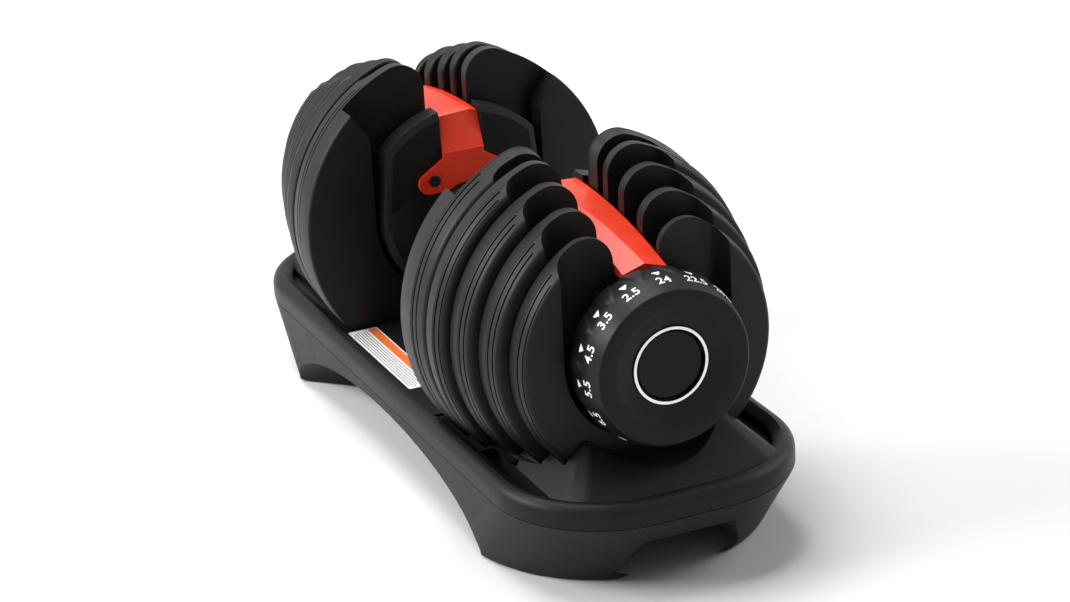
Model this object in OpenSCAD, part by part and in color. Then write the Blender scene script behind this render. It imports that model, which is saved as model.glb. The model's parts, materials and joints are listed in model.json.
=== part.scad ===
// Adjustable dial dumbbell resting in its storage tray.
// X runs along the dumbbell, Y across it, Z up. The origin is on the floor, under the middle.
// Each end is drawn once at the +X side and turned half round for the other end.

/* [Axis] */
// Height of the dumbbell's axis above the floor
axis_h = 120.5; // [114:0.5:135]

/* [Plates] */
// Start of the innermost plate, from the middle of the dumbbell
plate_start = 70; // [62:1:80]
// Radius of plate 1, the innermost
plate_1_r = 98; // [94:1:102]
// Radius of plate 2
plate_2_r = 96; // [88:1:102]
// Radius of plate 3
plate_3_r = 90; // [84:1:100]
// Radius of plate 4
plate_4_r = 83; // [78:1:96]
// Radius of plate 5, the outermost
plate_5_r = 75; // [70:1:90]
// Thickness of plate 1
plate_1_t = 30; // [28:0.5:36]
// Thickness of plate 2
plate_2_t = 17; // [14:0.5:24]
// Thickness of plate 3
plate_3_t = 20.5; // [14:0.5:26]
// Thickness of plate 4
plate_4_t = 20.5; // [14:0.5:26]
// Thickness of plate 5
plate_5_t = 17; // [16:0.5:24]
// Gap between neighbouring plates
plate_gap = 1.5; // [1:0.1:2]
// Thickness of the web of plate 1, between its two channels
web_1_t = 9.5; // [8:0.5:10]
// Thickness of the web of plate 2, behind its outer channel
web_2_t = 7; // [5:0.5:10]
// Thickness of the web of plate 3
web_3_t = 8; // [5:0.5:12]
// Thickness of the web of plate 4
web_4_t = 8; // [5:0.5:12]
// Thickness of the web of plate 5
web_5_t = 5; // [4:0.5:6]
// How far a plate's rim is centred below the dumbbell's axis
rim_drop = 2; // [0:0.5:2]
// Half the width of the U-notch that lets the shaft in from above
notch_half = 13.6; // [13.4:0.1:14]
// Radius that rounds the top of each ear beside the notch
ear_r = 16; // [14:0.5:18]
// Half the width of the sunk channel on a plate's outer face, at its floor
channel_half = 41; // [40:0.5:42]
// How much wider each half of that channel is at the plate's outer face
channel_flare = 9; // [4:0.5:10]
// Depth of the channel on the inner face of plate 1, where the guard sits
guard_channel_depth = 14; // [12:0.5:16]
// Rounding of a plate's rim at its outer face
rim_round = 3; // [2:0.5:5]
// Rounding of a plate's rim at its inner face
rim_edge = 1.5; // [1:0.5:3]
// Share of a plate's thickness that the flat band of its rim takes
rim_flat = 0.5; // [0.4:0.05:0.6]
// How much the rim's radius shrinks from its flat band to its outer edge
rim_taper = 1.5; // [0.5:0.5:3]
// Width of each fine groove that runs round the rim
groove_w = 1.2; // [0.8:0.1:1.6]
// Depth of each fine groove
groove_deep = 1.2; // [0.8:0.1:2]
// Width of the band that is left between the two fine grooves
groove_band = 3; // [2:0.5:4]
// Distance from the middle plane at which the inner groove begins and ends
groove_y = 52; // [50:1:60]
// Height above the axis at which the thick part of plate 1 stops beside its channel
shoulder_h = 54; // [46:1:60]
// Angle of the shoulder that ends the thick part of plate 1
shoulder_angle = 55; // [40:1:65]

/* [Selector discs] */
// Radius of a selector disc
disc_r = 37; // [36:0.5:39]
// Thickness of a selector disc
disc_t = 2; // [1.5:0.1:2.5]
// Inner radius of the hook rim that runs under a plate's ledge
hook_r = 31.5; // [30:0.5:32]
// Radial thickness of the hook rim
hook_t = 4; // [3:0.5:5]
// Axial height of the hook rim
hook_h = 3; // [2:0.1:3.2]
// Radial height of a plate's ledge
ledge_t = 4.5; // [3:0.5:6]
// Half the angle that each hook of a disc spans
hook_half = 11; // [8:0.5:11.5]
// Half the angle that a plate's ledge spans at the bottom
ledge_half = 10; // [6:0.5:11.5]
// Number of settings on the dial
settings = 15; // [15]

/* [Drive] */
// Radius of the fixed steel axle
axle_r = 5; // [4:0.5:6]
// Outer radius of the drive tube
tube_r = 10; // [9:0.5:11]
// Half the distance across the drive tube's two flats
flat_half = 8.5; // [8:0.1:9]
// Radial clearance of a running fit
running_fit = 0.05; // [0.02:0.01:0.09]
// Radial clearance of parts that are keyed to each other
key_fit = 0.1; // [0.05:0.05:0.2]
// Outer radius of the spacers between the discs
spacer_r = 13; // [12:0.5:14]
// Number of teeth on the lock ring
lock_teeth = 60; // [60:60:120]
// Radius over the lock ring's teeth
lock_tip_r = 24.5; // [23:0.5:26]
// Depth of the lock ring's teeth
lock_tooth_h = 3.2; // [2.5:0.1:3.6]
// Thickness of the lock ring
lock_ring_t = 3.6; // [3:0.1:3.8]

/* [Dial] */
// Radius of the dial
dial_r = 43; // [42:0.5:46]
// Thickness of the dial
dial_t = 28; // [26:1:32]
// Gap between the end plate and the dial
dial_gap = 0.5; // [0.3:0.1:1]
// Rounding of the dial's outer edge
dial_round = 4; // [3:0.5:6]
// Depth of the number pockets in the dial's rim
pocket_deep = 1.6; // [1:0.1:2.5]
// Radius of the shallow step on the dial's face
dial_step_r = 33; // [30:1:36]
// Outer radius of the bright ring on the dial's face
ring_r = 22; // [20:0.5:24]
// Width of the bright ring
ring_w = 1.8; // [1.2:0.1:2.5]
// Radius of the cap inside the bright ring
cap_r = 18.6; // [16:0.1:19]
// Depth of the dial's central recess
cap_recess = 9; // [8:0.5:12]

/* [Handle] */
// Distance from the middle of the dumbbell to a guard's inner face
guard_start = 63.5; // [62:0.5:65]
// Depth of a guard along the axis
guard_t = 13.5; // [13:0.5:15]
// Radius over the top of a guard
guard_r = 65; // [62:0.5:66]
// Radius of a guard's round bottom, which is half its width there
guard_half = 52; // [50:0.5:54]
// How much each side of a guard leans in at its top
guard_lean = 6.5; // [4:0.5:8]
// Wall thickness of a guard
guard_wall = 3; // [2.5:0.1:3.5]
// Bevel round the face of a guard
guard_bevel = 4; // [2:0.5:6]
// Radius of the grip at its thickest
grip_r = 17; // [15:0.5:19]
// Radius of the grip at its ends
grip_end_r = 15; // [14:0.5:17]
// Outer radius of the steel handle core
core_r = 12.5; // [11.5:0.1:13.5]
// Radius of the black collar beside a guard
collar_r = 18.5; // [18:0.1:19]
// Length of the collar
collar_len = 9; // [6:0.5:12]
// Height of the handle when it is lifted clear of the tray
lift_h = 150; // [120:5:200]

/* [Bridge] */
// Half the width of the bridge over the plates
bridge_half = 13; // [12:0.1:13]
// Height of the bridge above the axis at its inner bend
bridge_in_h = 61; // [58:0.5:64]
// Height of the bridge's ridge above the axis at its outer end
bridge_out_h = 48.5; // [47:0.5:52]
// Rise of the bridge's arch above a straight line
bridge_arch = 4.5; // [2:0.5:7]
// Drop from the ridge to the bridge's edges at the outer end
ridge_drop = 4; // [2:0.5:5]
// Sideways place of the ridge at the inner bend
ridge_shift = 8.5; // [6:0.5:10]
// Thickness of the bridge at its inner bend
bridge_t = 8; // [6:0.5:9]
// Thickness of the bridge's flange on the guard
flange_t = 2.6; // [2:0.1:3]
// Distance from the middle to each flange screw
flange_screw_y = 20; // [18:0.5:22]
// Height of the flange screws above the axis
flange_screw_z = 23.5; // [22:0.5:26]
// Thickness of the steel end plate
end_plate_t = 3.2; // [2.5:0.1:4]

/* [Tray] */
// Half the length of the tray at its parting line
tray_half_len = 229; // [226:1:240]
// Half the width of the tray at its parting line
tray_half_wid = 87.5; // [86:0.5:92]
// Corner radius of the tray at its parting line
tray_corner_r = 66; // [60:1:70]
// Height of the parting line above the floor
parting_h = 43; // [42:0.5:48]
// Height of the tray's rim above its parting line
rim_h = 13.5; // [12:0.5:15]
// Width of the tray's rim
rim_w = 12.5; // [12:0.5:14]
// Rounding of the rim
rim_top_r = 7; // [5:0.5:8]
// Fall of the rim's top towards its inner edge
rim_fall = 3; // [2:0.5:4]
// Drop from the rim to the floor of the tray beside the wells
basin_drop = 8; // [6:0.5:9]
// Wall thickness of the tray's mouldings
tray_wall = 3; // [2.5:0.1:3.5]
// How far the skirt slopes in below the parting line at each end
skirt_slope = 22; // [10:1:28]
// Corner radius of the skirt at the floor
foot_corner_r = 86; // [70:1:86]
// Half the length of the arch in a long side, at the floor
arch_half = 141; // [130:1:145]
// Height of the arch in a long side
arch_h = 37.5; // [34:0.5:38]
// How much narrower each half of the arch is at the inner end of its lip
arch_flare = 30; // [20:1:34]
// How far the lip of a long arch reaches inwards
arch_lip = 28; // [20:1:28]
// Half the width of the cut-out in an end, at the floor
end_cut_half = 45; // [40:1:48]
// Height of the cut-out in an end
end_cut_h = 18; // [14:1:19]
// How much wider and higher the cut-out is at the parting line's outline than at its inner edge
end_flare = 16; // [8:1:18]
// How far the lip of an end cut-out reaches inside the skirt's inner face at the floor
end_lip = 3; // [1:0.5:6]
// Height of the saddle's top below the axis
saddle_drop = 44.7; // [44:0.1:47]
// Half the width of the saddle at its top
saddle_half = 42; // [41:0.5:44]
// Half the width of the saddle at its foot
saddle_foot_half = 66; // [62:1:68]
// Gap between a resting piece and its seat
seat_gap = 0.3; // [0.2:0.05:0.5]
// Gap between a plate's inner channel and the guard that sits in it
guard_gap = 3; // [2.5:0.1:3.5]
// Clearance of the cradle round the dial
cradle_gap = 16; // [12:0.5:17]
// Radius of a rubber foot
pad_r = 7; // [5:0.5:9]
// Thickness of a rubber foot
pad_t = 1.5; // [1:0.5:3]

/* [Hidden] */
// Smoothness of the round pieces
$fn = 96;
PLATES = [1, 2, 3, 4, 5];
EPS = 0.01;

PLATE_R = [plate_1_r, plate_2_r, plate_3_r, plate_4_r, plate_5_r];
PLATE_T = [plate_1_t, plate_2_t, plate_3_t, plate_4_t, plate_5_t];
WEB_T = [web_1_t, web_2_t, web_3_t, web_4_t, web_5_t];

// Sum of the first n values of a list
function sum_first(v, n) = n <= 0 ? 0 : v[n - 1] + sum_first(v, n - 1);

function plate_x(i) = plate_start + sum_first(PLATE_T, i - 1) + (i - 1) * plate_gap;
function plate_end(i) = plate_x(i) + PLATE_T[i - 1];
function web_end(i) = plate_x(i) + (i == 1 ? guard_channel_depth : 0) + WEB_T[i - 1];
function disc_x(i) = web_end(i) + hook_clear;

// Axial clearance between a hook rim and the web beside it
hook_clear = 0.5;
// How far an ear's circle crosses the rim, so that the two meet at an angle
ear_blend = 0.05;
// Radial clearance between a hook rim and the ledge above it
ledge_gap = 0.5;
ledge_r = hook_r - ledge_gap;

end_plate_x = disc_x(5) + hook_h + disc_t + 1.2;
dial_x = end_plate_x + end_plate_t + dial_gap;
dial_end = dial_x + dial_t;
bridge_end_x = end_plate_x + end_plate_t;
bend_x = plate_start - 1;
flange_x = guard_start - flange_t - 0.1;
leg_low = flange_screw_z + 15;
leg_t = 2;
gusset_x = bend_x + 6;
seat_half = bridge_half + 0.2;
guard_end = guard_start + guard_t;
core_flange_r = 30;
core_flange_t = 3;
core_flange_x = guard_start + guard_wall + 0.1;
cover_t = 2.6;
cover_x = guard_end - cover_t;
yoke_t = 3;
yoke_x = core_flange_x + core_flange_t + 1;
lock_ring_x = yoke_x - 0.4;
yoke_window = lock_tip_r + 1.2;
yoke_half = yoke_window + 5;
yoke_drop = 3;
yoke_top = lock_tip_r + 8;
stem_half = 4;
yoke_foot_t = 2;
spring_r = 2.1;
spring_y = 22;
guard_rim = guard_wall + guard_bevel / 2;
guard_inside = guard_half - guard_rim;
yoke_foot = guard_inside - yoke_drop - 0.5;
spring_wire_r = 0.5;
spring_turns = 5;
spring_z0 = yoke_top + spring_wire_r + 0.1;
spring_z1 = sqrt(pow(guard_r - guard_rim, 2) - pow(spring_y + spring_r + 1, 2)) - spring_wire_r - 0.2;
screw_hole_r = 1.8;
screw_head_r = 3.4;
screw_head_h = 1.8;
cap_floor_x = dial_end - cap_recess;
cap_sink = 2.5;
end_screw_r = 2.5;
end_tab_len = 9;
tab_z = disc_r + 1.2;
tab_t = 2.2;
end_screw_x = bridge_end_x - 6.2;

rim_z = parting_h + rim_h;
deck_z = rim_z + 0.5;
basin_z = rim_z - basin_drop;
pad_x = tray_half_len - skirt_slope - 50;
pad_y = tray_half_wid - 26;
well_gap = 1.5;
deck_x = plate_start - well_gap;
post_x = guard_start + guard_wall + 0.3;
post_t = 1.4;
rest_half = 20;
rest_r = guard_half + seat_gap;
cradle_r = dial_r + cradle_gap;
saddle_top_x = plate_end(5) + 3;
saddle_foot_x = tray_half_len - rim_w;
saddle_corner_r = 40;
tab_r = 7;
tab_len = 12;
tab_top = parting_h - 3;
screw_xs = [-120, 120];
screw_y = tray_half_wid - tab_len;
tray_end_screw_x = tray_half_len - tab_len - 1;

SIDES = ["near", "far"];

// ---- helpers ----

// Extrudes a Y-Z outline from x0 to x1
module along_x(x0, x1) {
    translate([x0, 0, 0]) rotate([90, 0, 90]) linear_extrude(x1 - x0) children();
}

// Extrudes an X-Z outline from -half to half across Y
module across_y(half) {
    translate([0, half, 0]) rotate([90, 0, 0]) linear_extrude(2 * half) children();
}

// Turns a profile of [radius, x] points about the X axis
module turned_x() {
    rotate([0, 90, 0]) rotate_extrude() children();
}

// A round bar or bore along X
module rod_x(x0, x1, r) {
    translate([x0, 0, 0]) rotate([0, 90, 0]) cylinder(h = x1 - x0, r = r);
}

// Places the +X end's piece at one end, on the dumbbell's axis
module at_end(side) {
    translate([0, 0, axis_h]) rotate([0, 0, side == "near" ? 0 : 180]) children();
}

// Points of an arc round a centre, from angle a0 to a1
function arc(c, r, a0, a1, n) =
    [for (k = [0:n]) let (a = a0 + (a1 - a0) * k / n) [c[0] + r * cos(a), c[1] + r * sin(a)]];

// A sector of a ring, centred on the downward direction
module bottom_arc(r0, r1, half_angle) {
    reach = 2 * r1;
    intersection() {
        difference() {
            circle(r1);
            circle(r0);
        }
        polygon([[0, 0], [-reach * sin(half_angle), -reach * cos(half_angle)],
                 [reach * sin(half_angle), -reach * cos(half_angle)]]);
    }
}

// ---- weight plates ----

// Outline of a plate: a disc with a U-notch between two rounded ears
module plate_outline(r) {
    ear_y = notch_half + ear_r;
    ear_z = sqrt(pow(r - ear_r + ear_blend, 2) - pow(ear_y, 2));
    reach = 2 * r;
    difference() {
        circle(r + 1);
        translate([-notch_half, 0]) square([2 * notch_half, reach]);
        circle(notch_half);
        for (s = [-1, 1]) difference() {
            polygon([[s * (notch_half - 1), ear_z], [s * ear_y, ear_z],
                     [s * ear_y * reach / r, ear_z * reach / r], [s * (notch_half - 1), reach]]);
            translate([s * ear_y, ear_z]) circle(ear_r);
        }
    }
}

// Profile of a plate's rim: a flat band, then a slight slope to the rounded outer edge
function rim_profile(r, t) = concat(
    [[0, 0]],
    arc([r - rim_edge, rim_edge], rim_edge, -90, 0, 2),
    [[r, t * rim_flat]],
    arc([r - rim_taper - rim_round, t - rim_round], rim_round, 0, 90, 4),
    [[0, t]]);

// A channel open at the top, with a round bottom
module channel_outline(half, top) {
    circle(half);
    translate([-half, 0]) square([2 * half, top]);
}

// A fine groove round the rim, from one start angle beside the top to the other
module groove_ring(r, x, start) {
    rotate([0, 90, 0]) rotate([0, 0, 180 + start])
        rotate_extrude(angle = 360 - 2 * start)
            translate([r - groove_deep, x]) square([2 * groove_deep, groove_w]);
}

// The channel that holds the guard, with the wedges taken off above its shoulders
module guard_channel_outline(half, top) {
    channel_outline(half, top);
    shoulder_in = 6;
    for (s = [-1, 1])
        polygon([[s * (half - shoulder_in), shoulder_h - shoulder_in * tan(shoulder_angle)],
                 [s * (half + top * cos(shoulder_angle)), shoulder_h + top * sin(shoulder_angle)],
                 [s * (half - shoulder_in), shoulder_h + top * sin(shoulder_angle)]]);
}

// The channel in an outer face, wider at the face than at its floor
module outer_channel(x0, x1, top) {
    far = channel_half + channel_flare;
    translate([x0, 0, 0]) rotate([0, 90, 0]) cylinder(h = x1 - x0, r1 = channel_half, r2 = far);
    linear_extrude(top) polygon([[x0, -channel_half], [x1, -far], [x1, far], [x0, channel_half]]);
    rod_x(x1 - EPS, x1 + 1, far);
    translate([x1 - EPS, -far, 0]) cube([1 + EPS, 2 * far, top]);
}

module plate(i) {
    r = PLATE_R[i - 1];
    t = PLATE_T[i - 1];
    x0 = plate_x(i);
    pitch = groove_w + groove_band;
    color([0.16, 0.16, 0.165]) difference() {
        translate([0, 0, -rim_drop]) intersection() {
            translate([x0, 0, 0]) turned_x() polygon(rim_profile(r, t));
            along_x(x0 - 1, x0 + t + 1) plate_outline(r);
        }
        difference() {
            outer_channel(web_end(i), x0 + t, r + 2);
            along_x(web_end(i) - 1, web_end(i) + hook_h)
                bottom_arc(ledge_r - ledge_t, ledge_r, ledge_half);
        }
        if (i == 1)
            along_x(x0 - 1, x0 + guard_channel_depth)
                guard_channel_outline(guard_half + guard_gap, r + 2);
        for (k = [0, 1]) translate([x0, 0, -rim_drop])
            groove_ring(r - rim_taper * k / 2, t * rim_flat + groove_w + k * pitch,
                        asin((groove_y + k * groove_band) / r));
    }
}

// ---- selector mechanism ----

// Double-D section that keys the discs, the lock ring and the dial to the tube
module double_d(clearance) {
    intersection() {
        circle(tube_r + clearance);
        square([2 * (tube_r + 1), 2 * (flat_half + clearance)], center = true);
    }
}

// Which settings hook each plate, starting at full weight and turning towards the lightest
HOOKED = [
    [1, 0, 0, 0, 0, 0, 0, 0, 0, 0, 1, 1, 1, 1, 1],
    [1, 0, 0, 0, 0, 1, 1, 1, 1, 1, 0, 0, 1, 1, 1],
    [1, 0, 0, 1, 1, 0, 0, 1, 1, 1, 0, 1, 0, 1, 1],
    [1, 0, 0, 0, 0, 0, 0, 0, 0, 1, 0, 0, 0, 0, 1],
    [1, 0, 1, 0, 1, 0, 1, 0, 1, 0, 0, 0, 0, 0, 0]];

// One disc with its hook rim wherever its plate is lifted
module selector_disc(i) {
    x = disc_x(i);
    step = 360 / settings;
    color([0.72, 0.72, 0.74]) {
        difference() {
            union() {
                rod_x(x + hook_h, x + hook_h + disc_t, disc_r);
                for (k = [0:settings - 1]) if (HOOKED[i - 1][k] == 1)
                    rotate([k * step, 0, 0]) along_x(x, x + hook_h + disc_t / 2)
                        bottom_arc(hook_r, hook_r + hook_t, hook_half);
            }
            along_x(x - 1, x + hook_h + disc_t + 1) double_d(key_fit);
        }
    }
}

module disc_spacers() {
    starts = concat([lock_ring_x + lock_ring_t + 0.1], [for (i = [1:4]) disc_x(i) + hook_h + disc_t + 0.1]);
    color([0.12, 0.12, 0.12]) for (i = PLATES) difference() {
        rod_x(i == 1 ? guard_end + 0.3 : starts[i - 1], disc_x(i) + hook_h - 0.1, spacer_r);
        rod_x(guard_start, dial_x, tube_r + key_fit);
    }
}

module drive_tube() {
    color([0.6, 0.61, 0.63]) difference() {
        union() {
            along_x(lock_ring_x - 0.2, cover_x - 0.4) double_d(0);
            rod_x(cover_x - 0.4, guard_end + 1, tube_r);
            along_x(guard_end + 1, end_plate_x - 0.4) double_d(0);
            rod_x(end_plate_x - 0.4, dial_x - 0.2, tube_r);
            along_x(dial_x - 0.2, cap_floor_x - 3) double_d(0);
        }
        rod_x(guard_start, dial_end, axle_r + running_fit);
    }
}

module lock_ring() {
    pitch = 360 / lock_teeth;
    root_r = lock_tip_r - lock_tooth_h;
    color([0.72, 0.72, 0.74]) difference() {
        along_x(lock_ring_x, lock_ring_x + lock_ring_t)
            polygon([for (k = [0:lock_teeth - 1])
                for (p = [[0, root_r], [0.35, lock_tip_r], [0.65, lock_tip_r]])
                    p[1] * [sin((k + p[0]) * pitch), cos((k + p[0]) * pitch)]]);
        along_x(guard_start, guard_end) double_d(key_fit);
    }
}

// Yoke round the lock ring: its tooth drops into the ring when the post no longer holds it up
module lock_yoke() {
    tooth_z = lock_tip_r + 0.6;
    color([0.78, 0.78, 0.8]) translate([post_x, -stem_half, -yoke_foot])
        cube([yoke_x + yoke_t - post_x, 2 * stem_half, yoke_foot_t]);
    color([0.78, 0.78, 0.8]) along_x(yoke_x, yoke_x + yoke_t) {
        difference() {
            translate([-yoke_half, -yoke_half]) square([2 * yoke_half, yoke_half + yoke_top]);
            circle(yoke_window);
            translate([-yoke_window, 0]) square([2 * yoke_window, yoke_drop]);
            translate([0, yoke_drop]) circle(yoke_window);
        }
        polygon([[-1.4, yoke_top - 1], [-0.1, tooth_z], [0.1, tooth_z], [1.4, yoke_top - 1]]);
        translate([-stem_half, -yoke_foot]) square([2 * stem_half, yoke_foot - yoke_half + 1]);
    }
}

module lock_spring() {
    color([0.8, 0.8, 0.82]) for (s = [-1, 1])
        translate([yoke_x + yoke_t / 2, s * spring_y, spring_z0])
            linear_extrude(spring_z1 - spring_z0, twist = -360 * spring_turns,
                           slices = 12 * spring_turns, $fn = 6)
                translate([spring_r - spring_wire_r, 0]) circle(spring_wire_r, $fn = 6);
}

// ---- dial ----

dial_profile = concat(
    [[tube_r + 8, 0], [dial_r - 2, 0], [dial_r, 2]],
    arc([dial_r - dial_round, dial_t - dial_round], dial_round, 0, 90, 6),
    [[dial_step_r + 1.5, dial_t - 0.4], [dial_step_r, dial_t - 1.2], [ring_r + key_fit, dial_t - 1.2],
     [ring_r + key_fit, dial_t - cap_recess], [tube_r + 8, dial_t - cap_recess]]);

module dial() {
    pocket_r = 11;
    color([0.13, 0.13, 0.135]) difference() {
        union() {
            translate([dial_x, 0, 0]) turned_x() polygon(dial_profile);
            rod_x(dial_x, cap_floor_x, tube_r + 9);
        }
        for (k = [0:settings - 1]) rotate([k * 360 / settings, 0, 0])
            translate([0, 0, dial_r + pocket_r - pocket_deep])
                rod_x(dial_x + 2.5, dial_x + dial_t * 0.7, pocket_r);
        along_x(dial_x - 1, cap_floor_x - 3 + 0.2) double_d(key_fit);
        rod_x(cap_floor_x - 4, dial_end, axle_r + 1.2);
    }
}

module dial_ring() {
    color([0.85, 0.85, 0.87]) difference() {
        rod_x(cap_floor_x + 0.1, dial_end - 0.6, ring_r);
        rod_x(cap_floor_x, dial_end, ring_r - ring_w);
    }
}

module dial_cap() {
    lip = 2;
    color([0.11, 0.11, 0.115]) difference() {
        union() {
            rod_x(cap_floor_x + 0.1, dial_end - cap_sink, cap_r);
            rod_x(cap_floor_x + 0.1, cap_floor_x + 2, ring_r - ring_w - key_fit);
        }
        rod_x(cap_floor_x, dial_end - cap_sink - lip, cap_r - lip - 4);
    }
}

module dial_screw() {
    color([0.8, 0.8, 0.82]) {
        rod_x(cap_floor_x + 0.1, cap_floor_x + 1.4, 9);
        rod_x(cap_floor_x + 1.4, cap_floor_x + 4, 4.6);
    }
}

// ---- handle ----

module main_axle() {
    end_x = cap_floor_x;
    color([0.62, 0.63, 0.65]) translate([0, 0, axis_h]) rod_x(-end_x, end_x, axle_r);
}

module handle_core() {
    color([0.82, 0.82, 0.84]) translate([0, 0, axis_h]) difference() {
        union() {
            rod_x(-core_flange_x, core_flange_x, core_r);
            for (side = SIDES) rotate([0, 0, side == "near" ? 0 : 180])
                rod_x(core_flange_x, core_flange_x + core_flange_t, core_flange_r);
        }
        rod_x(-guard_end, guard_end, axle_r + key_fit);
        for (side = SIDES) rotate([0, 0, side == "near" ? 0 : 180]) flange_holes(screw_hole_r + 0.2);
    }
}

module flange_holes(r) {
    for (s = [-1, 1]) translate([0, s * flange_screw_y, flange_screw_z])
        rod_x(flange_x - 1, core_flange_x + core_flange_t + 1, r);
}

// Barrel-shaped rubber sleeve with shallow finger rings
module grip_sleeve() {
    half = flange_x + flange_t - collar_len - 0.3;
    rings = 9;
    color([0.1, 0.1, 0.105]) translate([0, 0, axis_h]) difference() {
        turned_x() polygon(concat(
            [[core_r + key_fit, -half]],
            [for (k = [-12:12]) let (u = k / 12)
                [grip_end_r + (grip_r - grip_end_r) * (1 - u * u), u * half]],
            [[core_r + key_fit, half]]));
        for (k = [-(rings - 1) / 2:(rings - 1) / 2]) translate([k * half * 1.6 / rings, 0, 0])
            difference() {
                rod_x(-0.8, 0.8, grip_r + 2);
                rod_x(-1, 1, grip_r - 1);
            }
    }
}

module handle_collars() {
    color([0.08, 0.08, 0.085]) for (side = SIDES) at_end(side)
        translate([flange_x + flange_t - collar_len, 0, 0]) turned_x() polygon([
            [core_r + key_fit, 0], [collar_r - 2, 0], [collar_r, 2],
            [collar_r, collar_len], [core_r + key_fit, collar_len]]);
}

// Round below the axis, with leaning sides and a wider round above it
module guard_outline(inset) {
    half = guard_half - inset;
    circle(half);
    intersection() {
        circle(guard_r - inset);
        polygon([[-half, 0], [half, 0], [half - guard_lean, guard_r], [guard_lean - half, guard_r]]);
    }
}

// The guard's block, with a bevel round its face
module guard_block() {
    hull() {
        along_x(guard_start, guard_start + EPS) guard_outline(guard_bevel);
        along_x(guard_start + guard_bevel / 2, guard_end) guard_outline(0);
    }
}

// The hollow for the lock, with a roof under the bridge's seat
module guard_cavity_outline(inset) {
    difference() {
        guard_outline(guard_rim + inset);
        translate([-seat_half - guard_wall, yoke_top + 3]) square([2 * (seat_half + guard_wall), guard_r]);
    }
}

module guard() {
    color([0.14, 0.14, 0.145]) difference() {
        guard_block();
        along_x(guard_start + guard_wall, guard_end + 1) guard_cavity_outline(0);
        rod_x(guard_start - 1, guard_end, core_r + key_fit);
        flange_holes(screw_hole_r + 0.2);
        across_y(seat_half) polygon([
            [guard_start - 1, leg_z(guard_start - 1) - seat_gap], [gusset_x, bar_low - seat_gap],
            [guard_end + 1, bar_low - seat_gap], [guard_end + 1, guard_r + 1],
            [guard_start - 1, guard_r + 1]]);
        translate([post_x - 0.3, -stem_half - seat_gap, -guard_half - 1])
            cube([post_t + 0.6, 2 * (stem_half + seat_gap), guard_rim + 2]);
    }
}

module guard_cover() {
    color([0.12, 0.12, 0.125]) difference() {
        along_x(cover_x, guard_end) guard_cavity_outline(0.15);
        rod_x(guard_start, guard_end + 1, tube_r + running_fit);
    }
}

// ---- bridge ----

// Height of the ridge line at a place between the outer end (0) and the inner bend (1)
function ridge_z(u) = bridge_out_h + (bridge_in_h - bridge_out_h) * u + bridge_arch * 4 * u * (1 - u);
bar_low = ridge_z(1) - edge_drop(1) - bridge_t;
// Underside of the leg that joins the bar to the flange
function leg_z(x) = leg_low - leg_t + (bar_low - leg_low + leg_t)
    * (x - flange_x - flange_t) / (gusset_x - flange_x - flange_t);
function bridge_x(u) = bridge_end_x + (bend_x - bridge_end_x) * u;
function edge_drop(u) = ridge_drop * (1 - 0.65 * u);
function bridge_thick(u) = bridge_out_h - ridge_drop - tab_z - tab_t - 0.1
    + (bridge_t - (bridge_out_h - ridge_drop - tab_z - tab_t - 0.1)) * min(1, u * 3);

// Five corners of the bridge's cross-section at a place along it
function bridge_section(u) = let (x = bridge_x(u), top = ridge_z(u) - edge_drop(u),
    low = top - bridge_thick(u)) [
    [x, -bridge_half, low], [x, bridge_half, low], [x, bridge_half, top],
    [x, -ridge_shift * u, ridge_z(u)], [x, -bridge_half, top]];

module bridge_bar() {
    stations = 12;
    corners = 5;
    points = [for (k = [0:stations]) each bridge_section(k / stations)];
    sides = [for (k = [0:stations - 1]) for (j = [0:corners - 1])
        let (a = k * corners + j, b = k * corners + (j + 1) % corners)
            each [[a, b, a + corners], [b, b + corners, a + corners]]];
    last = stations * corners;
    polyhedron(points, concat(
        [[for (j = [corners - 1:-1:0]) j]], sides, [[for (j = [0:corners - 1]) last + j]]));
}

module bridge_flange_outline() {
    ear = 6.5;
    difference() {
        union() {
            hull() for (s = [-1, 1]) {
                translate([s * (flange_screw_y + 3), flange_screw_z - 1.5]) circle(ear, $fn = 32);
                translate([s * (bridge_half - 3), flange_screw_z + 12]) circle(2, $fn = 32);
            }
            translate([-bridge_half, flange_screw_z]) square([2 * bridge_half, 16]);
        }
        circle(collar_r + 0.4);
    }
}

module bridge() {
    color([0.90, 0.17, 0.10]) difference() {
        union() {
            bridge_bar();
            across_y(bridge_half) polygon([
                [gusset_x, bar_low], [gusset_x, bar_low + bridge_t], [bend_x, bar_low + bridge_t],
                [flange_x, leg_low], [flange_x + flange_t, leg_low - leg_t]]);
            along_x(flange_x, flange_x + flange_t) bridge_flange_outline();
        }
        flange_holes(screw_hole_r + 0.2);
        end_tab_hole(1.6);
    }
}

module end_tab_hole(r) {
    translate([end_screw_x, 0, tab_z - 1]) cylinder(h = 9.5 - ridge_drop + 1.5, r = r);
}

module bridge_screws() {
    color([0.2, 0.2, 0.2]) for (s = [-1, 1]) translate([0, s * flange_screw_y, flange_screw_z]) {
        rod_x(flange_x - screw_head_h, flange_x - 0.05, screw_head_r);
        rod_x(flange_x - 0.05, core_flange_x + core_flange_t, screw_hole_r);
    }
}

module end_plate() {
    color([0.2, 0.2, 0.205]) difference() {
        union() {
            along_x(end_plate_x, end_plate_x + end_plate_t) {
                circle(bridge_half);
                translate([-bridge_half, 0]) square([2 * bridge_half, tab_z + tab_t]);
            }
            translate([bridge_end_x - end_tab_len, -bridge_half, tab_z])
                cube([end_tab_len, 2 * bridge_half, tab_t]);
        }
        rod_x(guard_end, dial_end, tube_r + running_fit);
        end_tab_hole(1.6);
    }
}

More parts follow.
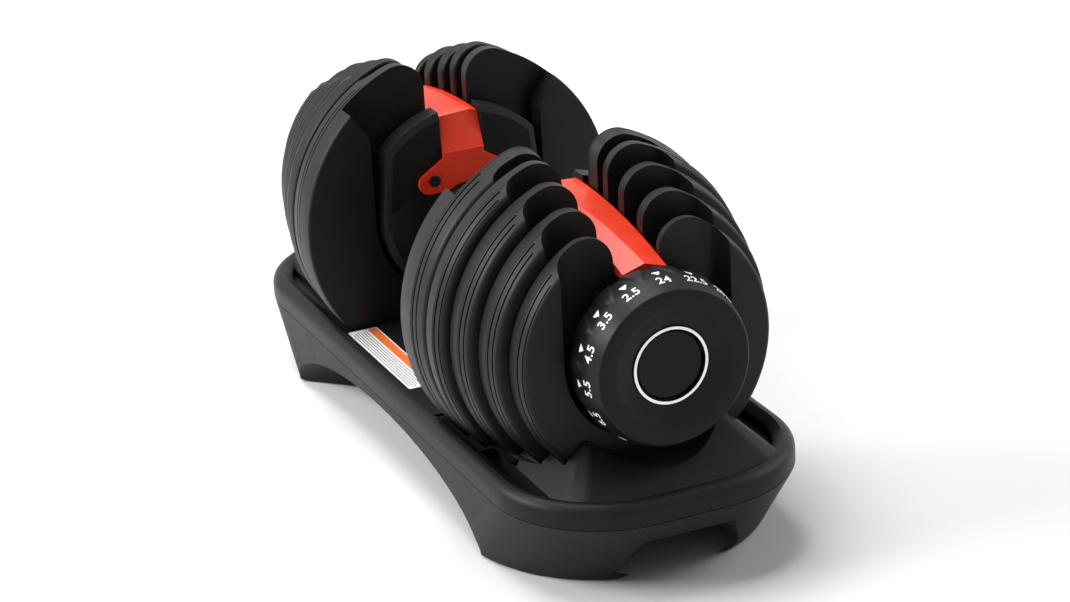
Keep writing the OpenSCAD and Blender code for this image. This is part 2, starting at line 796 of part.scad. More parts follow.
module end_plate_screws() {
    color([0.2, 0.2, 0.2]) translate([end_screw_x, 0, 0]) {
        translate([0, 0, tab_z - 0.9]) cylinder(h = 0.9 - 0.05, r = 2.6);
        translate([0, 0, tab_z - 0.1]) cylinder(h = 6, r = 1.5);
    }
}

// ---- tray ----

// Sweeps a profile of [outward, up] points round the tray's outline
module sweep_rim() {
    cx = tray_half_len - tray_corner_r;
    cy = tray_half_wid - tray_corner_r;
    for (a = [0, 180]) rotate([0, 0, a]) {
        for (b = [0, 90]) translate([b == 0 ? cx : -cx, cy, 0]) rotate([0, 0, b])
            rotate_extrude(angle = 90) translate([tray_corner_r, 0]) children();
        translate([-cx, cy + tray_corner_r, 0]) rotate([90, 0, 90]) linear_extrude(2 * cx) children();
        translate([cx + tray_corner_r, cy, 0]) rotate([90, 0, 0]) linear_extrude(2 * cy) children();
    }
}

module rounded_rect(half_len, half_wid, r) {
    cx = half_len - r;
    cy = half_wid - r;
    square([2 * half_len, 2 * cy], center = true);
    square([2 * cx, 2 * half_wid], center = true);
    for (x = [-cx, cx]) for (y = [-cy, cy]) translate([x, y]) circle(r);
}

// Stepped half-round wells for one end's plates; grow thickens them for the outside
module plate_wells(grow) {
    translate([0, 0, -rim_drop]) for (i = PLATES) {
        x0 = i == 1 ? plate_x(1) - well_gap : plate_x(i) - plate_gap / 2;
        x1 = i == 5 ? plate_end(5) + well_gap : plate_end(i) + plate_gap / 2;
        rod_x(x0 - grow, x1 + grow, PLATE_R[i - 1] + seat_gap + grow);
    }
}

// Solid outside of the saddle under one dial, which runs on beside the smaller wells
module saddle_block(shrink) {
    x0 = plate_x(3) + shrink;
    top = axis_h - saddle_drop - shrink;
    translate([0, 0, -axis_h]) hull() {
        intersection() {
            translate([0, 0, basin_z - tray_wall]) linear_extrude(tray_wall + basin_drop / 2 - shrink)
                rounded_rect(saddle_foot_x - shrink, saddle_foot_half - shrink, saddle_corner_r - shrink);
            translate([x0, -tray_half_wid, 0]) cube([tray_half_len, 2 * tray_half_wid, rim_z]);
        }
        translate([x0, -saddle_half + shrink, basin_z])
            cube([saddle_top_x - shrink - x0, 2 * (saddle_half - shrink), top - basin_z]);
    }
}

// Places its children at each of the six screws that join the two mouldings
module at_tray_screws() {
    for (x = screw_xs) for (s = [-1, 1]) translate([x, s * screw_y, 0]) children();
    for (s = [-1, 1]) translate([s * tray_end_screw_x, 0, 0]) children();
}

// Thin rim: outer wall, rounded top and inner slope
module rim_section() {
    w = tray_wall;
    top = rim_z;
    polygon(concat(
        [[0, parting_h]],
        arc([-rim_top_r, top - rim_top_r], rim_top_r, 0, 90, 6),
        [[-rim_w, top - rim_fall], [-rim_w, basin_z - w], [-rim_w + w, basin_z - w],
         [-rim_w + w, top - rim_fall - w]],
        arc([-rim_top_r, top - rim_top_r], rim_top_r - w, 90, 0, 6),
        [[-w, parting_h]]));
}

// Rest under one guard, with the post that holds its lock open
module guard_rest() {
    low = deck_z - axis_h - 1;
    along_x(guard_start + 1, deck_x) difference() {
        translate([-rest_half, low]) square([2 * rest_half, -low]);
        circle(rest_r);
        translate([-rest_half - 1, -sqrt(pow(rest_r, 2) - pow(rest_half, 2))])
            square([2 * rest_half + 2, rest_r]);
    }
    translate([post_x, 0.5 - stem_half, low])
        cube([post_t, 2 * stem_half - 1, -low - yoke_foot - seat_gap]);
}

module tray_top() {
    inner_len = tray_half_len - rim_w;
    inner_wid = tray_half_wid - rim_w;
    inner_r = tray_corner_r - rim_w;
    deck_half = tray_half_wid - rim_top_r + 1;
    under = basin_z - tray_wall;
    color([0.11, 0.11, 0.115]) difference() {
        union() {
            sweep_rim() rim_section();
            translate([0, 0, under]) linear_extrude(tray_wall)
                rounded_rect(inner_len + 1, inner_wid + 1, inner_r + 1);
            difference() {
                translate([-deck_x, -deck_half, under])
                    cube([2 * deck_x, 2 * deck_half, deck_z - under]);
                translate([-deck_x + tray_wall, -deck_half + tray_wall, under - 1])
                    cube([2 * (deck_x - tray_wall), 2 * (deck_half - tray_wall), deck_z - basin_z + 1]);
            }
            for (side = SIDES) at_end(side) {
                intersection() {
                    plate_wells(tray_wall);
                    translate([0, -deck_half, -axis_h]) cube([tray_half_len, 2 * deck_half, rim_z - 1]);
                }
                saddle_block(0);
                guard_rest();
            }
            at_tray_screws() translate([0, 0, tab_top + 0.1])
                cylinder(h = basin_z - tab_top - 1, r = tab_r - 2);
        }
        for (side = SIDES) at_end(side) {
            plate_wells(0);
            rod_x(plate_end(5), tray_half_len, cradle_r);
            difference() {
                saddle_block(tray_wall);
                plate_wells(tray_wall);
                rod_x(plate_end(5), tray_half_len, cradle_r + tray_wall);
            }
        }
        at_tray_screws() translate([0, 0, tab_top - 1]) cylinder(h = 7, r = 1.6);
    }
}

// Skirt between the parting line and the floor, sloping in at the ends
module skirt_loft(inset) {
    low = pad_t - (inset > 0 ? 1 : 0);
    hull() {
        translate([0, 0, parting_h - 0.4 - EPS]) linear_extrude(EPS)
            rounded_rect(tray_half_len - inset, tray_half_wid - inset, tray_corner_r - inset, $fn = 64);
        translate([0, 0, low]) linear_extrude(EPS)
            rounded_rect(tray_half_len - skirt_slope - inset, tray_half_wid + 1 - inset,
                         foot_corner_r - inset, $fn = 64);
    }
}

// Long arch: half an ellipse standing on the floor
function arch_points(half, h, n) =
    [for (k = [0:n]) [half * cos(180 * k / n), h * sin(180 * k / n)]];

// The space under a long arch, wider at the skirt than at its lip's inner end
module arch_space(grow) {
    inner_y = tray_half_wid - arch_lip;
    for (s = [-1, 1]) hull() {
        translate([0, s * (tray_half_wid + 3), 0]) across_y(1)
            polygon(arch_points(arch_half + 1 + grow, arch_h + grow, 28));
        translate([0, s * inner_y, 0]) across_y(EPS)
            polygon(arch_points(arch_half - arch_flare + grow, arch_h + grow, 28));
    }
}

function end_cut_points(grow) = let (half = end_cut_half + grow, h = end_cut_h + grow)
    [[-half, -1], [h - half, h], [half - h, h], [half, -1]];

// The space under an end's cut-out, wider at the skirt than at its lip's inner end
module end_space(grow) {
    inner_x = tray_half_len - skirt_slope - tray_wall - end_lip;
    for (s = [-1, 1]) hull() {
        along_x(s * inner_x - EPS, s * inner_x + EPS) polygon(end_cut_points(grow));
        along_x(s * tray_half_len - 1, s * tray_half_len + 1) polygon(end_cut_points(grow + end_flare));
    }
}

module tray_base() {
    color([0.13, 0.13, 0.135]) difference() {
        intersection() {
            skirt_loft(0);
            union() {
                difference() {
                    skirt_loft(-1);
                    skirt_loft(tray_wall);
                }
                arch_space(tray_wall);
                end_space(tray_wall);
                translate([0, 0, pad_t]) linear_extrude(tray_wall) difference() {
                    square([2 * tray_half_len, 2 * tray_half_wid], center = true);
                    square([2 * (arch_half - arch_flare), 2 * tray_half_wid + 2], center = true);
                    square([2 * tray_half_len + 2, 2 * end_cut_half], center = true);
                }
                at_tray_screws() translate([0, 0, tab_top - tray_wall]) cylinder(h = tray_wall, r = tab_r);
                for (x = screw_xs) for (s = [-1, 1])
                    translate([x - tab_r, s > 0 ? screw_y : -screw_y - tab_len, tab_top - tray_wall])
                        cube([2 * tab_r, tab_len, tray_wall]);
                for (s = [-1, 1])
                    translate([s > 0 ? tray_end_screw_x : -tray_end_screw_x - tab_len,
                               -tab_r, tab_top - tray_wall])
                        cube([tab_len, 2 * tab_r, tray_wall]);
            }
        }
        arch_space(0);
        end_space(0);
        at_tray_screws() translate([0, 0, tab_top - 10]) cylinder(h = 12, r = 1.9);
    }
}

module tray_feet() {
    color([0.05, 0.05, 0.05]) for (x = [-pad_x, pad_x]) for (y = [-pad_y, pad_y])
        translate([x, y, 0]) cylinder(h = pad_t, r = pad_r);
}

module tray_screws() {
    color([0.5, 0.5, 0.52]) at_tray_screws() {
        translate([0, 0, tab_top - tray_wall - 2]) cylinder(h = 2, r = 3.2);
        translate([0, 0, tab_top - tray_wall - 0.5]) cylinder(h = 9, r = 1.5);
    }
}

// ---- the pieces, one node each ----

tray_top();
tray_base();
tray_feet();
tray_screws();
main_axle();
handle_core();
grip_sleeve();
handle_collars();
for (side = SIDES) {
    at_end(side) guard();
    at_end(side) guard_cover();
    at_end(side) bridge();
    at_end(side) bridge_screws();
    at_end(side) end_plate();
    at_end(side) end_plate_screws();
    at_end(side) lock_yoke();
    at_end(side) lock_spring();
    at_end(side) lock_ring();
    at_end(side) drive_tube();
    at_end(side) disc_spacers();
    at_end(side) dial();
    at_end(side) dial_ring();
    at_end(side) dial_cap();
    at_end(side) dial_screw();
    for (i = PLATES) {
        at_end(side) selector_disc(i);
        at_end(side) plate(i);
    }
}
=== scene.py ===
"""Adjustable dial dumbbell in its storage tray: finishes, soft edges, dial numbers, camera and light."""

import json
import logging
import math
from dataclasses import dataclass
from enum import Enum
from typing import Iterable, Optional, Sequence, Union

import bmesh
import bpy
from mathutils import Matrix, Vector

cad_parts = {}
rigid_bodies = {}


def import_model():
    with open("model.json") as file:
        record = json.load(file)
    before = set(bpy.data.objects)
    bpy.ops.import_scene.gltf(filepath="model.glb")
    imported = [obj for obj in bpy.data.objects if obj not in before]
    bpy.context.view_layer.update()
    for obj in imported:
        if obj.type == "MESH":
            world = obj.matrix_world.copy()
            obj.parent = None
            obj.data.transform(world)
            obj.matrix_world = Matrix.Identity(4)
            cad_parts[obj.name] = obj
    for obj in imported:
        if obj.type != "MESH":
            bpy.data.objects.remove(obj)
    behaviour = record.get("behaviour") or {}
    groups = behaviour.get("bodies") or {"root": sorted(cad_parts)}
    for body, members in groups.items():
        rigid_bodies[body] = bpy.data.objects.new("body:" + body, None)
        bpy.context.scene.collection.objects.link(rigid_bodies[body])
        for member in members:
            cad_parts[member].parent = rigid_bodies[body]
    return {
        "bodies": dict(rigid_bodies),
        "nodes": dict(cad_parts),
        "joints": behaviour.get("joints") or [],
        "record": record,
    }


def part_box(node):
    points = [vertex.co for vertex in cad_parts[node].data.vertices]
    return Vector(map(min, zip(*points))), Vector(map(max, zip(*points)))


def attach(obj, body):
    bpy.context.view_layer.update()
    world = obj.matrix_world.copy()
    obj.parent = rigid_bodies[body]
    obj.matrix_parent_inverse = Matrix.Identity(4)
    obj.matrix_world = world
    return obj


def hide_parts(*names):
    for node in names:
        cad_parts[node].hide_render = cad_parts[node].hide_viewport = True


LOG = logging.getLogger("dumbbell")
MM = 0.001
PLATES = 5
Point = tuple[float, float]
Colour = tuple[float, float, float]
Value = Union["Term", float]
Input = Union["Term", float, Sequence[float]]


class End(Enum):
    """The two ends of the dumbbell."""

    NEAR = "near"
    FAR = "far"

    @property
    def place(self) -> Matrix:
        """Puts a piece that is drawn round the X axis, at the +X end, in its place."""
        turn = Matrix.Rotation(0.0 if self is End.NEAR else math.pi, 4, "Z")
        return Matrix.Translation((0, 0, Frame.axle_z())) @ turn

    def node(self, stem: str) -> str:
        """Name of this end's CAD node."""
        return f"{stem}_{self.value}"


# ---- shader maths -------------------------------------------------------------------------------


class Term:
    """A shader socket that takes part in Python arithmetic."""

    def __init__(self, graph: "Graph", socket: bpy.types.NodeSocket) -> None:
        """Wraps one output socket of a graph."""
        self.graph = graph
        self.socket = socket

    def _with(self, operation: str, *values: Value) -> "Term":
        """Result of a Math node with an operation and its inputs, in order."""
        inputs = {index: value for index, value in enumerate(values)}
        return self.graph.node("ShaderNodeMath", {"operation": operation}, inputs).out(0)

    def __add__(self, other: Value) -> "Term":
        """Sum."""
        return self._with("ADD", self, other)

    __radd__ = __add__

    def __sub__(self, other: Value) -> "Term":
        """Difference."""
        return self._with("SUBTRACT", self, other)

    def __rsub__(self, other: float) -> "Term":
        """Reflected difference."""
        return self._with("SUBTRACT", other, self)

    def __mul__(self, other: Value) -> "Term":
        """Product."""
        return self._with("MULTIPLY", self, other)

    __rmul__ = __mul__

    def angle(self, other: "Term") -> "Term":
        """Angle of a point with this height over that width, in radians."""
        return self._with("ARCTAN2", self, other)

    def least(self, other: Value) -> "Term":
        """The smaller of two."""
        return self._with("MINIMUM", self, other)

    def most(self, other: Value) -> "Term":
        """The larger of two."""
        return self._with("MAXIMUM", self, other)

    def fold(self, period: float) -> "Term":
        """Zigzag that repeats with a period."""
        return self._with("PINGPONG", self, period)

    def ramp(self, low: float, high: float) -> "Term":
        """Smooth step from 0 at low to 1 at high."""
        settings = {"interpolation_type": "SMOOTHSTEP"}
        inputs = {"Value": self, "From Min": low, "From Max": high}
        return self.graph.node("ShaderNodeMapRange", settings, inputs).out("Result")


class Step:
    """A node of a graph."""

    def __init__(self, graph: "Graph", made: bpy.types.Node) -> None:
        """Wraps a node of a graph."""
        self.graph = graph
        self.made = made

    def out(self, name: Union[str, int]) -> Term:
        """One output of the node."""
        return Term(self.graph, self.made.outputs[name])

    def set(self, name: Union[str, int], value: Input) -> None:
        """Gives one of the node's sockets a value or a link.

        Args:
            name: The socket's name or number.
            value: What it gets.
        """
        socket = self.made.inputs[name]
        if isinstance(value, Term):
            self.graph.tree.links.new(value.socket, socket)
        elif socket.type == "RGBA" and len(value) == 3:
            socket.default_value = (*value, 1.0)
        else:
            socket.default_value = value


class Graph:
    """A node tree."""

    def __init__(self, tree: bpy.types.NodeTree) -> None:
        """Wraps a node tree."""
        self.tree = tree

    def first(self, kind: str) -> Step:
        """The first node of a kind that the tree already has."""
        return Step(self, next(node for node in self.tree.nodes if node.type == kind))

    def node(self, kind: str, settings: dict, inputs: dict) -> Step:
        """Adds any node.

        Args:
            kind: Its Blender type.
            settings: Its own properties, set first.
            inputs: Values or terms for its sockets, by name or number.

        Returns:
            The node.
        """
        step = Step(self, self.tree.nodes.new(kind))
        for key, value in settings.items():
            setattr(step.made, key, value)
        for key, value in inputs.items():
            step.set(key, value)
        return step


class Surface(Graph):
    """A material and its nodes."""

    def __init__(self, name: str) -> None:
        """Starts a material with one Principled shader.

        Args:
            name: The material's name.
        """
        self.material = bpy.data.materials.new(name)
        self.material.use_nodes = True
        super().__init__(self.material.node_tree)
        self.shader = self.first("BSDF_PRINCIPLED")
        self.place = self.node("ShaderNodeTexCoord", {}, {}).out("Object")

    def noise(self, size: float, detail: float = 2.0, roughness: float = 0.5,
              stretch: Optional[Sequence[float]] = None) -> Term:
        """Noise with features of a given size.

        Args:
            size: Size of a feature, in metres.
            detail: Octaves.
            roughness: Weight of the fine octaves.
            stretch: Scale along each axis, for grain with a direction.

        Returns:
            A term from 0 to 1.
        """
        where = self.place
        if stretch is not None:
            where = self.node("ShaderNodeMapping", {}, {"Vector": where, "Scale": stretch}).out(0)
        inputs = {"Vector": where, "Scale": 1.0 / size, "Detail": detail, "Roughness": roughness}
        return self.node("ShaderNodeTexNoise", {}, inputs).out(0)

    def axis(self, name: str) -> Term:
        """One coordinate of the place on the piece, in metres."""
        return self.node("ShaderNodeSeparateXYZ", {}, {0: self.place}).out(name)

    def mix(self, share: Value, low: Input, high: Input) -> Term:
        """Mixes two colours."""
        settings = {"data_type": "RGBA"}
        return self.node("ShaderNodeMix", settings, {0: share, 6: low, 7: high}).out(2)

    def bump(self, height: Term, depth: float) -> None:
        """Roughens the surface.

        Args:
            height: A term from 0 to 1.
            depth: The height's full scale, in metres.
        """
        inputs = {"Height": height, "Distance": depth, "Strength": 1.0}
        self.shader.set("Normal", self.node("ShaderNodeBump", {}, inputs).out("Normal"))


# ---- finishes -----------------------------------------------------------------------------------


@dataclass(frozen=True)
class Moulding:
    """Plastic or rubber with a moulded grain, slight mottling and handling marks."""

    name: str
    colour: Colour
    roughness: float = 0.5
    gloss: float = 0.4
    grain: float = 0.0009
    grain_depth: float = 0.00006
    mottle: float = 0.12
    patch: float = 0.045
    handling: float = 0.011
    spread: float = 0.12

    def make(self) -> bpy.types.Material:
        """Builds the material."""
        surface = Surface(self.name)
        broad = surface.noise(self.patch, 3.0, 0.55)
        fine = surface.noise(self.grain, 2.0, 0.6)
        handled = surface.noise(self.handling, 4.0, 0.65).ramp(0.50, 0.72)
        light = tuple(channel * (1.0 + 2.0 * self.mottle) + 0.001 for channel in self.colour)
        surface.shader.set("Base Color", surface.mix(broad, self.colour, light))
        middle = self.roughness - self.spread / 2
        surface.shader.set("Roughness", broad * self.spread + fine * 0.06 - handled * 0.05 + middle)
        surface.shader.set("Specular IOR Level", self.gloss)
        surface.bump(fine + broad * 0.4, self.grain_depth)
        return surface.material


@dataclass(frozen=True)
class Tinted:
    """Satin coloured plastic with a faint flow of tone along the moulding."""

    name: str
    colour: Colour
    deep: Colour
    roughness: float = 0.42
    gloss: float = 0.45
    patch: float = 0.060
    grain: float = 0.0008
    grain_depth: float = 0.00003
    flow: tuple[float, float, float] = (0.5, 1.0, 1.0)

    def make(self) -> bpy.types.Material:
        """Builds the material."""
        surface = Surface(self.name)
        flow = surface.noise(self.patch, 2.0, 0.5, self.flow)
        fine = surface.noise(self.grain, 2.0, 0.6)
        surface.shader.set("Base Color", surface.mix(flow.ramp(0.35, 0.70), self.colour, self.deep))
        surface.shader.set("Roughness", fine * 0.06 + flow * 0.08 + (self.roughness - 0.07))
        surface.shader.set("Specular IOR Level", self.gloss)
        surface.bump(fine, self.grain_depth)
        return surface.material


@dataclass(frozen=True)
class Metal:
    """Steel with fine drawing lines along one axis, or a plated surface."""

    name: str
    colour: Colour
    roughness: float = 0.3
    line: float = 0.0006
    line_depth: float = 0.00002
    stretch: tuple[float, float, float] = (0.05, 1.0, 1.0)
    patch: float = 0.012
    dulled: float = 0.82

    def make(self) -> bpy.types.Material:
        """Builds the material."""
        surface = Surface(self.name)
        lines = surface.noise(self.line, 3.0, 0.6, self.stretch)
        cloud = surface.noise(self.patch, 3.0, 0.6)
        dull = tuple(channel * self.dulled for channel in self.colour)
        surface.shader.set("Base Color", surface.mix(cloud, self.colour, dull))
        surface.shader.set("Metallic", 1.0)
        surface.shader.set("Roughness", lines * 0.12 + cloud * 0.10 + (self.roughness - 0.11))
        surface.bump(lines, self.line_depth)
        return surface.material


@dataclass(frozen=True)
class Ink:
    """Printed ink, slightly uneven."""

    name: str
    colour: Colour
    patch: float = 0.0006
    depth: float = 0.00002
    thinned: float = 0.88

    def make(self) -> bpy.types.Material:
        """Builds the material."""
        surface = Surface(self.name)
        patchy = surface.noise(self.patch, 3.0, 0.6)
        thin = tuple(channel * self.thinned for channel in self.colour)
        surface.shader.set("Base Color", surface.mix(patchy.ramp(0.35, 0.75), self.colour, thin))
        surface.shader.set("Roughness", patchy * 0.15 + 0.40)
        surface.bump(patchy, self.depth)
        return surface.material


@dataclass(frozen=True)
class KnurledRubber:
    """Soft rubber with a raised diamond pattern round the grip; the raised diamonds carry a painted
    highlight, coloured paler than the grooves, which hold painted shade.
    """

    name: str
    colour: Colour
    pitch: float = 0.0032
    depth: float = 0.0004
    around: float = 0.016
    grain: float = 0.0007
    gloss: float = 0.35

    def make(self) -> bpy.types.Material:
        """Builds the material."""
        surface = Surface(self.name)
        along = surface.axis("X")
        across = surface.axis("Y")
        up = surface.axis("Z") - Frame.axle_z()
        turn = across.angle(up) * self.around
        one = (along + turn).fold(self.pitch / 2)
        other = (along - turn).fold(self.pitch / 2)
        diamond = one.least(other) * (2.0 / self.pitch)
        fine = surface.noise(self.grain, 2.0, 0.6)
        # painted highlight and shade: the diamond tops are coloured paler and the grooves darker,
        # following the relief, though the rubber is one even black
        pale = tuple(channel * 1.5 + 0.004 for channel in self.colour)
        surface.shader.set("Base Color", surface.mix(diamond.ramp(0.2, 0.9), self.colour, pale))
        surface.shader.set("Roughness", fine * 0.10 + 0.55)
        surface.shader.set("Specular IOR Level", self.gloss)
        surface.bump(diamond.ramp(0.15, 0.75) + fine * 0.15, self.depth)
        return surface.material


class Finish(Enum):
    """Every finish on the object, with the record's material slot that it stands for."""

    TRAY = ("tray_black",
            Moulding("tray_plastic", (0.0060, 0.0060, 0.0064), 0.40, 0.16, 0.0011, 0.00010))
    SKIRT = ("tray_black",
             Moulding("skirt_plastic", (0.0100, 0.0100, 0.0108), 0.48, 0.18, 0.0012, 0.00010))
    FOOT = ("foot_rubber", Moulding("foot_rubber", (0.014, 0.014, 0.014), 0.75, 0.25, 0.0008, 0.00010))
    PLATE = ("plate_black",
             Moulding("plate_coating", (0.0062, 0.0062, 0.0066), 0.42, 0.20, 0.0007, 0.00007))
    GUARD = ("guard_black",
             Moulding("guard_plastic", (0.0060, 0.0060, 0.0064), 0.44, 0.16, 0.0009, 0.00008))
    DIAL = ("dial_black", Moulding("dial_plastic", (0.0052, 0.0052, 0.0056), 0.38, 0.15, 0.0006, 0.00004))
    CAP = ("cap_black", Moulding("cap_plastic", (0.0042, 0.0042, 0.0045), 0.32, 0.14, 0.0005, 0.00002))
    SPACER = ("spacer_black", Moulding("spacer_nylon", (0.03, 0.03, 0.03), 0.5, 0.4, 0.0008, 0.00005))
    GRIP = ("grip_rubber", KnurledRubber("grip_rubber", (0.014, 0.014, 0.0145)))
    BRIDGE = ("bridge_red", Tinted("bridge_plastic", (0.86, 0.046, 0.010), (0.80, 0.034, 0.007)))
    BLACK_STEEL = ("black_screw", Metal("blackened_steel", (0.045, 0.045, 0.048), 0.42))
    ZINC = ("zinc_steel", Metal("zinc_steel", (0.60, 0.61, 0.63), 0.30))
    CORE = ("chrome_core", Metal("core_chrome", (0.72, 0.72, 0.74), 0.16))
    DISC = ("disc_steel", Metal("disc_steel", (0.48, 0.48, 0.50), 0.34, 0.0006, 0.00002, (1.0, 0.06, 1.0)))
    RING = ("ring_silver", Metal("ring_plating", (0.80, 0.80, 0.81), 0.24, 0.0005, 0.00001))
    NUMBER = ("dial_black", Ink("number_ink", (0.86, 0.86, 0.86)))
    PAPER = ("tray_black", Ink("label_paper", (0.80, 0.80, 0.80)))
    BAND = ("tray_black", Ink("label_band", (0.80, 0.16, 0.03)))
    PRINT = ("tray_black", Ink("label_print", (0.03, 0.03, 0.03)))

    @property
    def slot(self) -> str:
        """The record's material slot."""
        return self.value[0]

    def material(self) -> bpy.types.Material:
        """The finish's material, made once."""
        recipe = self.value[1]
        return bpy.data.materials.get(recipe.name) or recipe.make()


# ---- the frame and mesh helpers -----------------------------------------------------------------


class Frame:
    """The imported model, with the sizes that the looks are built round."""

    loaded: dict = {}

    @classmethod
    def load(cls) -> None:
        """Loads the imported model."""
        cls.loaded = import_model()

    @classmethod
    def node(cls, name: str) -> bpy.types.Object:
        """A CAD node's object."""
        return cls.loaded["nodes"][name]

    @classmethod
    def body_of(cls, node: str) -> str:
        """Name of the body that a CAD node belongs to."""
        bodies = cls.loaded["record"]["behaviour"]["bodies"]
        return next(body for body, members in bodies.items() if node in members)

    @classmethod
    def span(cls, node: str) -> tuple[float, float]:
        """Inner and outer end of a CAD node, as distances from the middle along X."""
        low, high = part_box(node)
        reach = (abs(low.x), abs(high.x))
        return min(reach), max(reach)

    @classmethod
    def axle_z(cls) -> float:
        """Height of the dumbbell's axis."""
        low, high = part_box("main_axle")
        return (low.z + high.z) / 2

    @classmethod
    def dress(cls, name: str, finish: Finish) -> None:
        """Gives a CAD node its finish."""
        mesh = cls.node(name).data
        mesh.materials.clear()
        mesh.materials.append(finish.material())


def placed(name: str, data: bpy.types.ID) -> bpy.types.Object:
    """A new object in the scene, with its data."""
    made = bpy.data.objects.new(name, data)
    bpy.context.scene.collection.objects.link(made)
    return made


class Mesh:
    """Shapes a bmesh and turns it into a piece of the model."""

    def __init__(self) -> None:
        """Starts empty."""
        self.bm = bmesh.new()

    @classmethod
    def of_node(cls, node: str) -> "Mesh":
        """A merged copy of a CAD node's mesh, with flat areas joined."""
        made = cls()
        made.bm.from_mesh(Frame.node(node).data)
        bmesh.ops.remove_doubles(made.bm, verts=made.bm.verts, dist=2e-6)
        flat = math.radians(0.6)
        bmesh.ops.dissolve_limit(made.bm, angle_limit=flat, verts=made.bm.verts, edges=made.bm.edges)
        return made

    @classmethod
    def extruded(cls, corners: Sequence[tuple[float, float, float]], along: Sequence[float]) -> "Mesh":
        """A flat outline drawn out into a solid.

        Args:
            corners: Points of the outline, in order.
            along: How far it is drawn out, as a vector.

        Returns:
            The solid.
        """
        made = cls()
        face = made.bm.faces.new([made.bm.verts.new(corner) for corner in corners])
        grown = bmesh.ops.extrude_face_region(made.bm, geom=[face])["geom"]
        moved = [item for item in grown if isinstance(item, bmesh.types.BMVert)]
        bmesh.ops.translate(made.bm, verts=moved, vec=along)
        made.outward()
        return made

    @classmethod
    def prism(cls, outline: Sequence[Point], x0: float, x1: float) -> "Mesh":
        """An outline in Y and Z, drawn out along X from one place to another."""
        return cls.extruded([(x0, y, z) for y, z in outline], (x1 - x0, 0, 0))

    @classmethod
    def spun(cls, profile: Sequence[Point], steps: int, start: float = 0.0,
             sweep: float = 360.0) -> "Mesh":
        """A closed profile of radius and X, spun about the X axis.

        Args:
            profile: Points of the profile, in order.
            steps: Faces round the spin.
            start: Angle from the top at which it starts, in degrees.
            sweep: Angle that it covers, in degrees.

        Returns:
            The solid.
        """
        made = cls()
        corners = [made.bm.verts.new((x, 0, r)) for r, x in profile]
        for pair in zip(corners, corners[1:] + corners[:1]):
            made.bm.edges.new(pair)
        whole = abs(sweep - 360.0) < 1e-6
        if not whole:
            made.bm.faces.new(corners)
        turn = Matrix.Rotation(math.radians(start), 3, "X")
        bmesh.ops.rotate(made.bm, verts=made.bm.verts, cent=(0, 0, 0), matrix=turn)
        geometry = made.bm.verts[:] + made.bm.edges[:] + made.bm.faces[:]
        bmesh.ops.spin(made.bm, geom=geometry, cent=(0, 0, 0), axis=(1, 0, 0), dvec=(0, 0, 0),
                       angle=math.radians(sweep), steps=steps, use_merge=whole, use_duplicate=False)
        bmesh.ops.remove_doubles(made.bm, verts=made.bm.verts, dist=1e-7)
        made.outward()
        return made

    @classmethod
    def loft(cls, rings: Sequence[tuple[float, Sequence[Point]]]) -> "Mesh":
        """A closed solid through outlines that stand one behind the other along X.

        Args:
            rings: Each outline's place along X and its points in Y and Z, all equally many.

        Returns:
            The solid.
        """
        made = cls()
        loops = []
        for x, outline in rings:
            corners = [made.bm.verts.new((x, y, z)) for y, z in outline]
            loops.append([made.bm.edges.new((a, b)) for a, b in zip(corners, corners[1:] + corners[:1])])
        for first, second in zip(loops, loops[1:]):
            bmesh.ops.bridge_loops(made.bm, edges=first + second)
        for loop in (loops[0], loops[-1]):
            bmesh.ops.contextual_create(made.bm, geom=loop)
        made.outward()
        return made

    @classmethod
    def slab(cls, centre: Point, size: Point, corner: float, low: float, high: float) -> "Mesh":
        """A thin flat piece with rounded corners.

        Args:
            centre: Its centre in X and Y.
            size: Its length and width.
            corner: Radius of its corners.
            low: Height of its underside.
            high: Height of its top.

        Returns:
            The solid.
        """
        points: list[Point] = []
        for sx, sy, start in ((1, 1, 0), (-1, 1, 90), (-1, -1, 180), (1, -1, 270)):
            middle = (centre[0] + sx * (size[0] / 2 - corner), centre[1] + sy * (size[1] / 2 - corner))
            points += arc(middle, corner, start, start + 90, 6)
        return cls.extruded([(x, y, low) for x, y in points], (0, 0, high - low))

    def outward(self) -> None:
        """Turns all faces outwards."""
        bmesh.ops.recalc_face_normals(self.bm, faces=self.bm.faces)

    def move(self, matrix: Matrix) -> "Mesh":
        """Moves the shape."""
        self.bm.transform(matrix)
        return self

    def data(self, name: str) -> bpy.types.Mesh:
        """Writes the shape to mesh data and frees it."""
        mesh = bpy.data.meshes.new(name)
        self.bm.normal_update()
        self.bm.to_mesh(mesh)
        self.bm.free()
        return mesh


def arc(centre: Point, radius: float, start: float, stop: float, count: int) -> list[Point]:
    """Points of an arc in a plane, count + 1 of them, with angles in degrees from its first axis."""
    angles = [math.radians(start + (stop - start) * k / count) for k in range(count + 1)]
    return [(centre[0] + radius * math.cos(a), centre[1] + radius * math.sin(a)) for a in angles]


def circle(radius: float, drop: float = 0.0, count: int = 120) -> list[Point]:
    """Points of a whole circle in Y and Z, whose centre is a drop below the axis."""
    return arc((0, -drop), radius, 0, 360, count)[1:]


